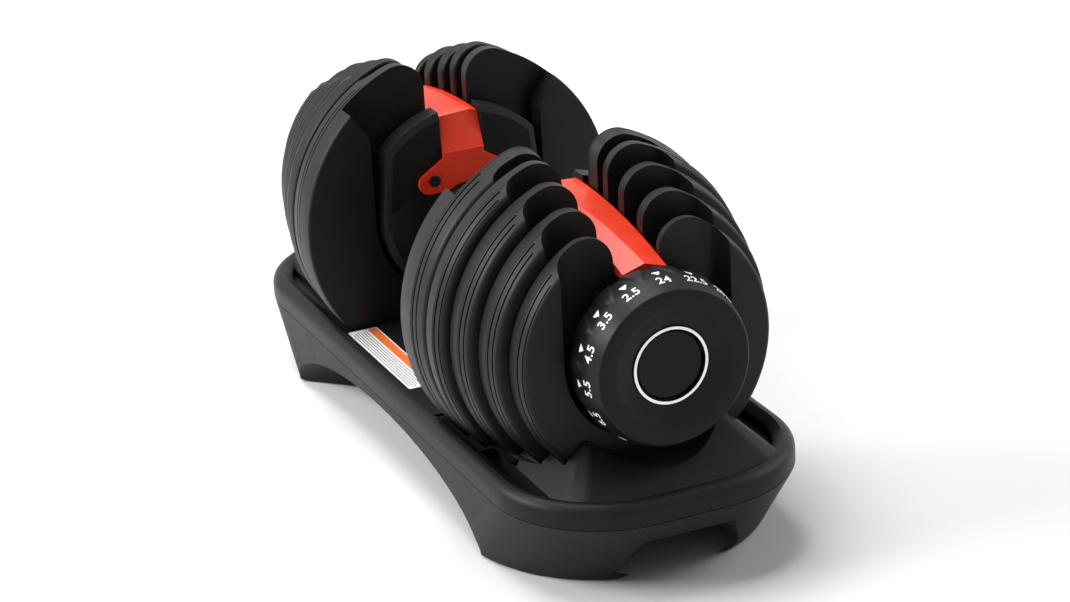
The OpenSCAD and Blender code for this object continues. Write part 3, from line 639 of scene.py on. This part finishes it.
class Piece:
    """Adds finished meshes to the scene."""

    @staticmethod
    def add(name: str, mesh: bpy.types.Mesh, body: str, finish: Finish,
            replaces: Iterable[str] = (), smooth: float = 35.0) -> bpy.types.Object:
        """Makes a piece of the model.

        Args:
            name: The piece's name.
            mesh: Its mesh, in place.
            body: The body that it rides on.
            finish: Its finish.
            replaces: CAD nodes that it stands for.
            smooth: Angle under which its faces are shaded as one, in degrees.

        Returns:
            The piece.
        """
        made = placed(name, mesh)
        mesh.materials.clear()
        mesh.materials.append(finish.material())
        mesh.shade_smooth()
        mesh.set_sharp_from_angle(angle=math.radians(smooth))
        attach(made, body)
        if replaces:
            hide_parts(*replaces)
        LOG.info("%s: %d faces on %s", name, len(mesh.polygons), body)
        return made

    @staticmethod
    def cut(target: bpy.types.Mesh, cutters: Iterable[bpy.types.Mesh]) -> bpy.types.Mesh:
        """Cuts solids out of a mesh.

        Args:
            target: What is cut.
            cutters: What is cut away.

        Returns:
            The new mesh.
        """
        blank = placed("blank", target)
        tools = [placed(f"cutter_{index}", mesh) for index, mesh in enumerate(cutters)]
        for index, tool in enumerate(tools):
            modifier = blank.modifiers.new(f"cut_{index}", "BOOLEAN")
            modifier.operation = "DIFFERENCE"
            modifier.solver = "EXACT"
            modifier.object = tool
        graph = bpy.context.evaluated_depsgraph_get()
        result = bpy.data.meshes.new_from_object(blank.evaluated_get(graph))
        for item in [blank, *tools]:
            data = item.data
            bpy.data.objects.remove(item)
            bpy.data.meshes.remove(data)
        return result

    @staticmethod
    def soften(piece: bpy.types.Object, width: float, segments: int = 3, limit: float = 38.0) -> None:
        """Rounds a piece's sharp edges and evens its shading.

        Args:
            piece: The piece.
            width: Width of the rounding, in metres.
            segments: Faces across it.
            limit: Angle above which an edge is rounded, in degrees.
        """
        bevel = piece.modifiers.new("soft_edges", "BEVEL")
        bevel.width = width
        bevel.segments = segments
        bevel.limit_method = "ANGLE"
        bevel.angle_limit = math.radians(limit)
        bevel.harden_normals = True
        bevel.miter_outer = "MITER_ARC"

    @staticmethod
    def soft_copy(node: str, finish: Finish, width: float, segments: int = 3) -> None:
        """A copy of a CAD node with rounded edges, standing for the node.

        Args:
            node: The CAD node.
            finish: The copy's finish.
            width: Width of the rounding, in metres.
            segments: Faces across it.
        """
        mesh = Mesh.of_node(node).data(node)
        made = Piece.add(f"{node}_shell", mesh, Frame.body_of(node), finish, [node])
        Piece.soften(made, width, segments)


# ---- the object ---------------------------------------------------------------------------------


@dataclass
class WeightPlate:
    """One weight plate: stepped rim, U-notch between two ears, two fine grooves and a sunk channel."""

    end: End
    index: int
    notch_half: float = 13.6 * MM
    ear_r: float = 16.0 * MM
    rim_drop: float = 2.0 * MM
    webs: tuple[float, ...] = (9.5 * MM, 7.0 * MM, 8.0 * MM, 8.0 * MM, 5.0 * MM)
    channel_half: float = 41.0 * MM
    channel_flare: float = 9.0 * MM
    rim_edge: float = 1.5 * MM
    rim_flat: float = 0.5
    rim_step: float = 0.25 * MM
    rim_taper: float = 1.5 * MM
    rim_round: float = 3.0 * MM
    groove_w: float = 1.2 * MM
    groove_deep: float = 1.2 * MM
    groove_band: float = 3.0 * MM
    groove_y: float = 52.0 * MM
    guard_channel: float = 14.0 * MM
    guard_channel_half: float = 55.0 * MM
    shoulder_h: float = 54.0 * MM
    shoulder_angle: float = 55.0
    rim_steps: int = 120
    notch_steps: int = 14
    ear_steps: int = 18
    flank_steps: int = 8
    floor_steps: int = 48
    groove_steps: int = 110
    soft_edge: float = 0.5 * MM
    past: float = 1.0 * MM
    above: float = 20.0 * MM

    @property
    def node(self) -> str:
        """Name of the plate's CAD node."""
        return f"plate_{self.end.value}_{self.index}"

    def sizes(self) -> tuple[float, float, float]:
        """Start, end and radius of the plate, at the +X end."""
        low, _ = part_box(self.node)
        return (*Frame.span(self.node), Frame.axle_z() - self.rim_drop - low.z)

    def outline(self, radius: float, inset: float) -> list[Point]:
        """The plate's outline, from the notch's bottom round one side and back by the other.

        Args:
            radius: Radius of the plate.
            inset: How far the outline is drawn in, all the way round.

        Returns:
            Its points, equally many for any inset.
        """
        ear_y = self.notch_half + self.ear_r
        ear_z = math.sqrt((radius - self.ear_r) ** 2 - ear_y ** 2)
        lean = math.degrees(math.atan2(ear_z, ear_y))
        right = (arc((0, 0), self.notch_half + inset, -90, 0, self.notch_steps)
                 + arc((ear_y, ear_z), self.ear_r - inset, 180, lean, self.ear_steps)
                 + arc((0, 0), radius - inset, lean, -90, self.rim_steps // 2)[1:])
        left = [(-y, z) for y, z in reversed(right)]
        return [(y, z - self.rim_drop) for y, z in right + left[1:-1]]

    def rim_stations(self, thick: float) -> list[Point]:
        """Places across the rim, each with how far the outline is drawn in there."""
        inner = arc((self.rim_edge, self.rim_edge), self.rim_edge, 180, 270, 3)
        middle = thick * self.rim_flat
        shoulder = [(middle, 0.0), (middle + self.rim_step, self.rim_step)]
        centre = (thick - self.rim_round, self.rim_taper + self.rim_round)
        outer = arc(centre, self.rim_round, 270, 360, 5)
        return inner + shoulder + outer

    def channel_cutter(self, floor: float, face: float, top: float) -> bpy.types.Mesh:
        """The sunk channel, whose flank curves out from its floor to the plate's face.

        Args:
            floor: Where the channel's floor is, along X.
            face: Where the plate's outer face is.
            top: How far up it reaches.

        Returns:
            The cutter.
        """
        rings = []
        for k in range(self.flank_steps + 1):
            turn = math.radians(90.0 * k / self.flank_steps)
            half = self.channel_half + self.channel_flare * math.sin(turn)
            rings.append((floor + (face - floor) * (1 - math.cos(turn)), half))
        rings.append((face + self.past, rings[-1][1]))
        outlines = [(x, arc((0, 0), half, -180, 0, self.floor_steps) + [(half, top), (-half, top)])
                    for x, half in rings]
        return Mesh.loft(outlines).data("channel")

    def guard_cutter(self, start: float, floor: float, top: float) -> bpy.types.Mesh:
        """The channel that the guard sits in, with its sloping shoulders.

        Args:
            start: Where the cutter starts, along X.
            floor: Where the channel's floor is.
            top: How far up it reaches.

        Returns:
            The cutter.
        """
        half = self.guard_channel_half
        wide = half + (top - self.shoulder_h) / math.tan(math.radians(self.shoulder_angle))
        outline = (arc((0, 0), half, -180, 0, self.floor_steps)
                   + [(half, self.shoulder_h), (wide, top), (-wide, top), (-half, self.shoulder_h)])
        return Mesh.prism(outline, start, floor).data("guard_channel")

    def groove_cutter(self, x: float, radius: float, begin: float) -> bpy.types.Mesh:
        """One fine groove round the rim.

        Args:
            x: Where it starts, along X.
            radius: Radius of the rim there.
            begin: Distance from the middle plane at which it begins and ends.

        Returns:
            The cutter.
        """
        profile = [(radius - self.groove_deep, x), (radius - self.groove_deep, x + self.groove_w),
                   (radius + self.past, x + self.groove_w), (radius + self.past, x)]
        start = math.degrees(math.asin(begin / radius))
        ring = Mesh.spun(profile, self.groove_steps, start, 360 - 2 * start)
        return ring.move(Matrix.Translation((0, 0, -self.rim_drop))).data("groove")

    def build(self) -> None:
        """Builds the plate."""
        start, stop, radius = self.sizes()
        thick = stop - start
        stations = self.rim_stations(thick)
        solid = Mesh.loft([(start + x, self.outline(radius, inset)) for x, inset in stations])
        over = radius + self.above
        behind = self.guard_channel if self.index == 1 else 0.0
        tools = [self.channel_cutter(start + behind + self.webs[self.index - 1], stop, over)]
        if self.index == 1:
            tools.append(self.guard_cutter(start - self.past, start + self.guard_channel, over))
        pitch = self.groove_w + self.groove_band
        for k in range(2):
            tools.append(self.groove_cutter(start + thick * self.rim_flat + self.groove_w + k * pitch,
                                            radius - self.rim_taper * k / 2,
                                            self.groove_y + k * self.groove_band))
        mesh = Piece.cut(solid.data(self.node), tools)
        mesh.transform(self.end.place)
        body = Frame.body_of(self.node)
        name = f"weight_{self.end.value}_{self.index}_casting"
        made = Piece.add(name, mesh, body, Finish.PLATE, [self.node])
        Piece.soften(made, self.soft_edge, 2)


@dataclass
class Dial:
    """The numbered dial with its bright ring and plain cap.

    rim holds distances from the inner face and radii; dish holds radii and depths below the front.
    """

    end: End
    settings: tuple[str, ...] = ("24", "2.5", "3.5", "4.5", "5.5", "6.5", "8", "9", "10", "11.5",
                                 "13.5", "16", "18", "20.5", "22.5")
    rim: tuple[Point, ...] = ((0.0, 45.6 * MM), (4.0 * MM, 46.5 * MM), (9.0 * MM, 47.3 * MM),
                              (13.0 * MM, 47.6 * MM), (17.0 * MM, 47.6 * MM), (22.0 * MM, 46.8 * MM),
                              (26.0 * MM, 45.8 * MM), (29.8 * MM, 44.6 * MM))
    proud: float = 4.0 * MM
    digit_h: float = 5.5 * MM
    digit_x: float = 21.9 * MM
    arrow_w: float = 4.6 * MM
    arrow_l: float = 4.6 * MM
    arrow_x: float = 11.6 * MM
    rib_deep: float = 0.9 * MM
    rib_half: float = 6.2 * MM
    rib_tip: float = 18.5 * MM
    rib_curve: float = 1.5
    rib_edge: float = 1.1 * MM
    rib_fade: float = 5.0 * MM
    rounding: float = 2.2 * MM
    chamfer: float = 1.2 * MM
    dish: tuple[Point, ...] = ((35.2 * MM, 0.2 * MM), (33.6 * MM, 0.5 * MM), (32.2 * MM, 1.3 * MM),
                               (29.0 * MM, 3.1 * MM), (26.0 * MM, 4.3 * MM), (22.9 * MM, 5.2 * MM),
                               (22.1 * MM, 5.8 * MM))
    recess: float = 9.0 * MM
    hub_r: float = 17.8 * MM
    steps: int = 360
    rows: int = 26
    round_steps: int = 6
    digit_share: float = 0.70
    digit_bold: float = 0.12 * MM
    digit_space: float = 1.04
    digit_reach: int = 12
    shoulder: Point = (0.86, 0.3)
    ink_lift: float = 0.10 * MM
    touch: float = 0.01 * MM
    smooth: float = 50.0
    trim: tuple[tuple[str, Finish, float], ...] = (("dial_ring", Finish.RING, 0.35 * MM),
                                                   ("dial_cap", Finish.CAP, 0.5 * MM))

    def rim_radius(self, x: float) -> float:
        """Radius of the rim between its ribs.

        Args:
            x: Distance from the dial's inner face.

        Returns:
            The radius.
        """
        for (x0, r0), (x1, r1) in zip(self.rim, self.rim[1:]):
            if x <= x1:
                break
        return r0 + (r1 - r0) * (x - x0) / (x1 - x0)

    def rib_height(self, angle: float, x: float, radius: float) -> float:
        """How much of a rib stands at a place on the rim, from 0 to 1.

        Args:
            angle: Angle round the dial, in degrees.
            x: Distance from the dial's inner face.
            radius: Radius of the rim.

        Returns:
            The share.
        """
        pitch = 360.0 / len(self.settings)
        off = (angle + pitch / 2) % pitch - pitch / 2
        away = pitch / 2 - abs(off)
        reach = math.radians(away) * radius
        half = self.rib_half * max(0.0, 1 - (x / self.rib_tip) ** self.rib_curve)
        share = min(1.0, max(0.0, (half + self.rib_edge / 2 - reach) / self.rib_edge))
        fade = min(1.0, max(0.0, (self.rib_tip - x) / self.rib_fade))
        return share * share * (3 - 2 * share) * fade

    def build_body(self) -> None:
        """Builds the dial's moulding."""
        x0, x1 = Frame.span(self.end.node("dial"))
        front = x1 + self.proud
        edge = front - self.rounding
        low = self.rim_radius(edge - x0)
        start = x0 + self.chamfer
        places = [start + (edge - start) * k / self.rows for k in range(self.rows + 1)]
        rim = [(self.rim_radius(x - x0), x) for x in places]
        corner = arc((low - self.rounding, edge), self.rounding, 0, 90, self.round_steps)[1:]
        face = [(r, front - depth) for r, depth in self.dish]
        inside = [(face[-1][0], x1 - self.recess), (self.hub_r, x1 - self.recess), (self.hub_r, x0),
                  (self.rim_radius(0.0) - self.chamfer, x0)]
        shape = Mesh.spun(rim + corner + face + inside, self.steps)
        for vert in shape.bm.verts:
            reach = math.hypot(vert.co.y, vert.co.z)
            radius = self.rim_radius(vert.co.x - x0)
            if reach > radius - self.touch:
                angle = math.degrees(math.atan2(vert.co.y, vert.co.z))
                share = self.rib_height(angle, vert.co.x - x0, radius)
                scale = (radius + share * self.rib_deep) / reach
                vert.co.y *= scale
                vert.co.z *= scale
        node = self.end.node("dial")
        shape.move(self.end.place)
        name = f"{node}_moulding"
        Piece.add(name, shape.data(node), Frame.body_of(node), Finish.DIAL, [node], self.smooth)

    def digits(self, text: str) -> bmesh.types.BMesh:
        """One setting's number as a thin flat mesh, centred, with its top towards +Y."""
        curve = bpy.data.curves.new("number", "FONT")
        curve.body = text
        curve.size = self.digit_h / self.digit_share
        curve.align_x = "CENTER"
        curve.align_y = "CENTER"
        curve.offset = self.digit_bold
        curve.space_character = self.digit_space
        holder = placed("number", curve)
        graph = bpy.context.evaluated_depsgraph_get()
        mesh = bpy.data.meshes.new_from_object(holder.evaluated_get(graph))
        flat = bmesh.new()
        flat.from_mesh(mesh)
        bpy.data.objects.remove(holder)
        bpy.data.curves.remove(curve)
        bpy.data.meshes.remove(mesh)
        return flat

    def arrow(self, flat: bmesh.types.BMesh, top: float) -> None:
        """Adds the pointer above a number.

        Args:
            flat: The number's mesh.
            top: Where the pointer's base is.
        """
        half = self.arrow_w / 2
        side = half * self.shoulder[0]
        low = top - self.arrow_l * self.shoulder[1]
        corners = [(-half, top), (-side, low), (0, top - self.arrow_l), (side, low), (half, top)]
        flat.faces.new([flat.verts.new((u, v, 0)) for u, v in corners])

    def wrap(self, flat: bmesh.types.BMesh, setting: int, x0: float) -> None:
        """Splits a flat number finely, thickens it and wraps it round the rim.

        Args:
            flat: The number's mesh.
            setting: Its place in the order of the settings.
            x0: The dial's inner face.
        """
        for cut in range(-self.digit_reach, self.digit_reach + 1):
            for axis in ((1, 0, 0), (0, 1, 0)):
                geometry = flat.verts[:] + flat.edges[:] + flat.faces[:]
                bmesh.ops.bisect_plane(flat, geom=geometry, dist=1e-7, plane_no=axis,
                                       plane_co=Vector(axis) * cut * MM)
        grown = bmesh.ops.extrude_face_region(flat, geom=flat.faces[:])["geom"]
        raised = [item for item in grown if isinstance(item, bmesh.types.BMVert)]
        bmesh.ops.translate(flat, verts=raised, vec=(0, 0, -2 * self.ink_lift))
        for vert in flat.verts:
            u, v, depth = vert.co
            low = self.rim_radius(self.digit_x - v) + self.ink_lift
            angle = math.radians(setting * 360.0 / len(self.settings)) - u / low
            reach = low + depth
            vert.co = (x0 + self.digit_x - v, -reach * math.sin(angle), reach * math.cos(angle))
        bmesh.ops.recalc_face_normals(flat, faces=flat.faces)

    def build_numbers(self) -> None:
        """Builds the printed numbers and their pointers, wrapped round the rim."""
        x0, _ = Frame.span(self.end.node("dial"))
        whole = Mesh()
        for setting, text in enumerate(self.settings):
            flat = self.digits(text)
            self.arrow(flat, self.digit_x - self.arrow_x)
            self.wrap(flat, setting, x0)
            part = bpy.data.meshes.new("part")
            flat.to_mesh(part)
            flat.free()
            whole.bm.from_mesh(part)
            bpy.data.meshes.remove(part)
        whole.move(self.end.place)
        name = self.end.node("dial_numbers")
        Piece.add(name, whole.data(name), Frame.body_of(self.end.node("dial")), Finish.NUMBER)

    def build(self) -> None:
        """Builds the dial and its trim."""
        self.build_body()
        self.build_numbers()
        for stem, finish, width in self.trim:
            Piece.soft_copy(self.end.node(stem), finish, width)


@dataclass
class HandleEnd:
    """One end of the handle: guard, bridge, end plate, lock and selector discs."""

    end: End
    shells: tuple[tuple[str, Finish, float], ...] = (("guard", Finish.GUARD, 0.8 * MM),
                                                     ("bridge", Finish.BRIDGE, 0.45 * MM))
    steel: tuple[tuple[str, Finish], ...] = (
        ("bridge_screws", Finish.BLACK_STEEL), ("end_plate", Finish.BLACK_STEEL),
        ("end_plate_screws", Finish.BLACK_STEEL), ("lock_yoke", Finish.ZINC), ("lock_spring", Finish.ZINC),
        ("lock_ring", Finish.DISC), ("drive_tube", Finish.DISC), ("disc_spacers", Finish.SPACER),
        ("dial_screw", Finish.ZINC), ("guard_cover", Finish.GUARD))

    def build(self) -> None:
        """Builds the end's visible shells and dresses its mechanism."""
        for stem, finish, width in self.shells:
            Piece.soft_copy(self.end.node(stem), finish, width)
        for stem, finish in self.steel:
            Frame.dress(self.end.node(stem), finish)
        for index in range(1, PLATES + 1):
            Frame.dress(f"selector_disc_{self.end.value}_{index}", Finish.DISC)


@dataclass
class Grip:
    """The steel core with its rubber sleeve and collars."""

    shells: tuple[tuple[str, Finish, float, int], ...] = (("grip_sleeve", Finish.GRIP, 0.3 * MM, 2),
                                                          ("handle_collars", Finish.GUARD, 0.5 * MM, 3))

    def build(self) -> None:
        """Dresses the grip."""
        Frame.dress("main_axle", Finish.ZINC)
        Frame.dress("handle_core", Finish.CORE)
        for shell in self.shells:
            Piece.soft_copy(*shell)


@dataclass
class Tray:
    """The storage tray: upper moulding, skirt, feet and screws."""

    shells: tuple[tuple[str, Finish, float], ...] = (("tray_top", Finish.TRAY, 0.9 * MM),
                                                     ("tray_base", Finish.SKIRT, 0.8 * MM),
                                                     ("tray_feet", Finish.FOOT, 0.4 * MM))

    def build(self) -> None:
        """Builds the tray's shells and dresses the rest."""
        for shell in self.shells:
            Piece.soft_copy(*shell)
        Frame.dress("tray_screws", Finish.ZINC)
        for end in End:
            Saddle(end).build()
        Label().build()


@dataclass
class Saddle:
    """The saddle under one dial: it slopes from a crest to a wide foot, with a ridge at each corner."""

    end: End
    top_z: float = 76.05 * MM
    top_half: float = 42.2 * MM
    top_x: float = 184.2 * MM
    top_corner: float = 5.0 * MM
    foot_z: float = 52.7 * MM
    foot_half: float = 66.2 * MM
    foot_x: float = 216.7 * MM
    foot_corner: float = 14.0 * MM
    under_z: float = 46.5 * MM
    bowl_r: float = 59.1 * MM
    well_gap: float = 0.75 * MM
    seat_gap: float = 0.4 * MM
    ridge_round: float = 2.6 * MM
    ridge_steps: int = 4
    ridge_limit: float = 25.0
    corner_steps: int = 10
    bowl_over: float = 5.0 * MM
    plates: tuple[int, ...] = (3, 4, 5)

    def level(self, x0: float, x1: float, half: float, corner: float, z: float) -> list[tuple]:
        """Points of one level: square at the plates' side, rounded at the outer corners.

        Args:
            x0: Where its inner edge is.
            x1: Where its outer edge is.
            half: Half its width.
            corner: Radius of its outer corners.
            z: Its height.

        Returns:
            The points.
        """
        turn = arc((x1 - corner, half - corner), corner, 0, 90, self.corner_steps)
        return ([(x, y, z) for x, y in turn] + [(x, -y, z) for x, y in turn]
                + [(x0, half, z), (x0, -half, z)])

    def build(self) -> None:
        """Builds the saddle."""
        slots = [WeightPlate(self.end, index).sizes() for index in self.plates]
        shape = Mesh()
        foot = (self.foot_x, self.foot_half, self.foot_corner)
        levels = ((self.top_x, self.top_half, self.top_corner, self.top_z),
                  (*foot, self.foot_z), (*foot, self.under_z))
        for x1, half, corner, z in levels:
            for point in self.level(slots[0][0], x1, half, corner, z - Frame.axle_z()):
                shape.bm.verts.new(point)
        bmesh.ops.convex_hull(shape.bm, input=shape.bm.verts[:])
        tools = []
        for start, stop, radius in slots:
            well = circle(radius + self.seat_gap, WeightPlate.rim_drop)
            tools.append(Mesh.prism(well, start - self.well_gap, stop + self.well_gap).data("well"))
        bowl = Mesh.prism(circle(self.bowl_r), slots[-1][1], self.foot_x + self.bowl_over)
        tools.append(bowl.data("bowl"))
        mesh = Piece.cut(shape.data("saddle"), tools)
        mesh.transform(self.end.place)
        made = Piece.add(self.end.node("saddle"), mesh, "tray", Finish.TRAY)
        Piece.soften(made, self.ridge_round, self.ridge_steps, self.ridge_limit)


@dataclass
class Label:
    """A plain sticker on the deck: pale, with an orange band and blank ruled lines."""

    deck_z: float = 57.0 * MM
    length: float = 95.5 * MM
    width: float = 18.5 * MM
    middle_x: float = -19.2 * MM
    middle_y: float = -70.2 * MM
    corner: float = 1.5 * MM
    sheet: float = 0.12 * MM
    ink: float = 0.05 * MM
    band_w: float = 5.6 * MM
    border: float = 0.9 * MM
    lines: int = 6
    line_w: float = 0.45 * MM
    line_share: float = 0.95
    line_short: float = 0.03
    corner_share: float = 0.45

    def layer(self, name: str, y: float, size: Point, finish: Finish, level: int) -> None:
        """Adds one layer of the sticker.

        Args:
            name: Its name.
            y: Where its middle is across the tray.
            size: Its length and width.
            finish: Its finish.
            level: How many layers lie under it.
        """
        low = self.deck_z + (0.0 if level == 0 else self.sheet)
        high = low + (self.sheet if level == 0 else self.ink)
        corner = min(self.corner, size[1] * self.corner_share)
        shape = Mesh.slab((self.middle_x, y), size, corner, low, high)
        Piece.add(name, shape.data(name), "tray", finish)

    def build(self) -> None:
        """Builds the sticker."""
        self.layer("deck_label_sheet", self.middle_y, (self.length, self.width), Finish.PAPER, 0)
        inner = self.middle_y + self.width / 2 - self.border
        size = (self.length - 2 * self.border, self.band_w)
        self.layer("deck_label_band", inner - self.band_w / 2, size, Finish.BAND, 1)
        room = self.width - 3 * self.border - self.band_w
        for k in range(self.lines):
            y = inner - self.band_w - self.border - room * (k + 0.5) / self.lines
            size = (self.length * (self.line_share - self.line_short * (k % 3)), self.line_w)
            self.layer(f"deck_label_rule_{k + 1}", y, size, Finish.PRINT, 1)


# ---- camera and light ---------------------------------------------------------------------------


@dataclass(frozen=True)
class Lamp:
    """One soft light."""

    name: str
    place: tuple[float, float, float]
    size: tuple[float, float]
    power: float
    target: tuple[float, float, float] = (0.0, 0.0, 0.1)

    def build(self) -> None:
        """Adds the light."""
        data = bpy.data.lights.new(self.name, "AREA")
        data.shape = "RECTANGLE"
        data.size, data.size_y = self.size
        data.energy = self.power
        made = placed(self.name, data)
        aim = Vector(self.target) - Vector(self.place)
        turn = aim.to_track_quat("-Z", "Y").to_matrix().to_4x4()
        made.matrix_world = Matrix.Translation(self.place) @ turn


@dataclass
class Studio:
    """A pale floor, soft lights and the camera."""

    azimuth: float = 66.404
    elevation: float = 22.345
    roll: float = -3.076
    distance: float = 1.82445
    aim: tuple[float, float, float] = (0.03238, 0.0, 0.09571)
    lens: float = 106.77
    sensor: float = 36.0
    floor_size: float = 12.0
    ambient: float = 0.16
    white: Colour = (1.0, 1.0, 1.0)
    lamps: tuple[Lamp, ...] = (Lamp("key", (-0.7, -1.9, 1.3), (1.5, 0.9), 60.0),
                               Lamp("fill", (0.3, 1.8, 1.2), (1.2, 1.2), 16.0),
                               Lamp("top", (-0.6, -0.2, 2.1), (1.4, 1.2), 44.0))

    def camera(self) -> None:
        """Adds the camera."""
        a, e = math.radians(self.azimuth), math.radians(self.elevation)
        back = Vector((math.sin(a) * math.cos(e), -math.cos(a) * math.cos(e), math.sin(e)))
        right = Vector((math.cos(a), math.sin(a), 0))
        up = back.cross(right)
        level = Matrix((right, up, back)).transposed().to_4x4()
        turn = level @ Matrix.Rotation(math.radians(self.roll), 4, "Z")
        data = bpy.data.cameras.new("camera")
        data.lens = self.lens
        data.sensor_width = self.sensor
        made = placed("camera", data)
        made.matrix_world = Matrix.Translation(Vector(self.aim) + back * self.distance) @ turn
        bpy.context.scene.camera = made

    def floor(self) -> None:
        """Adds the floor."""
        shape = Mesh()
        bmesh.ops.create_grid(shape.bm, x_segments=4, y_segments=4, size=self.floor_size / 2)
        made = placed("floor", shape.data("floor"))
        surface = Surface("floor_white")
        surface.shader.set("Base Color", (0.86, 0.86, 0.86))
        surface.shader.set("Roughness", surface.noise(0.5) * 0.1 + 0.7)
        surface.shader.set("Specular IOR Level", 0.1)
        made.data.materials.append(surface.material)

    def world(self) -> None:
        """Sets the world's light: dim where it lights the pieces, plain white where it is seen."""
        world = bpy.data.worlds.new("studio")
        world.use_nodes = True
        graph = Graph(world.node_tree)
        rays = graph.node("ShaderNodeLightPath", {}, {})
        seen = rays.out("Is Camera Ray")
        for name in ("Is Glossy Ray", "Is Transmission Ray"):
            seen = seen.most(rays.out(name))
        dim = graph.first("BACKGROUND")
        dim.set("Color", self.white)
        dim.set("Strength", self.ambient)
        plain = graph.node("ShaderNodeBackground", {}, {"Color": self.white})
        both = graph.node("ShaderNodeMixShader", {}, {0: seen, 1: dim.out(0), 2: plain.out(0)})
        graph.first("OUTPUT_WORLD").set("Surface", both.out(0))
        bpy.context.scene.world = world

    def build(self) -> None:
        """Builds the studio."""
        self.camera()
        self.floor()
        self.world()
        for lamp in self.lamps:
            lamp.build()
        bpy.context.scene.view_settings.view_transform = "Standard"


def corners(box: Sequence[Vector]) -> list[list[float]]:
    """A box as plain lists of numbers."""
    return [[float(value) for value in corner] for corner in box]


def main() -> None:
    """Builds the dumbbell, its tray and the studio."""
    logging.basicConfig(level=logging.INFO, format="%(name)s: %(message)s")
    Frame.load()
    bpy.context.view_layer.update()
    Studio().build()
    Tray().build()
    Grip().build()
    for end in End:
        HandleEnd(end).build()
        Dial(end).build()
        for index in range(1, PLATES + 1):
            WeightPlate(end, index).build()


if __name__ == "__main__":
    main()
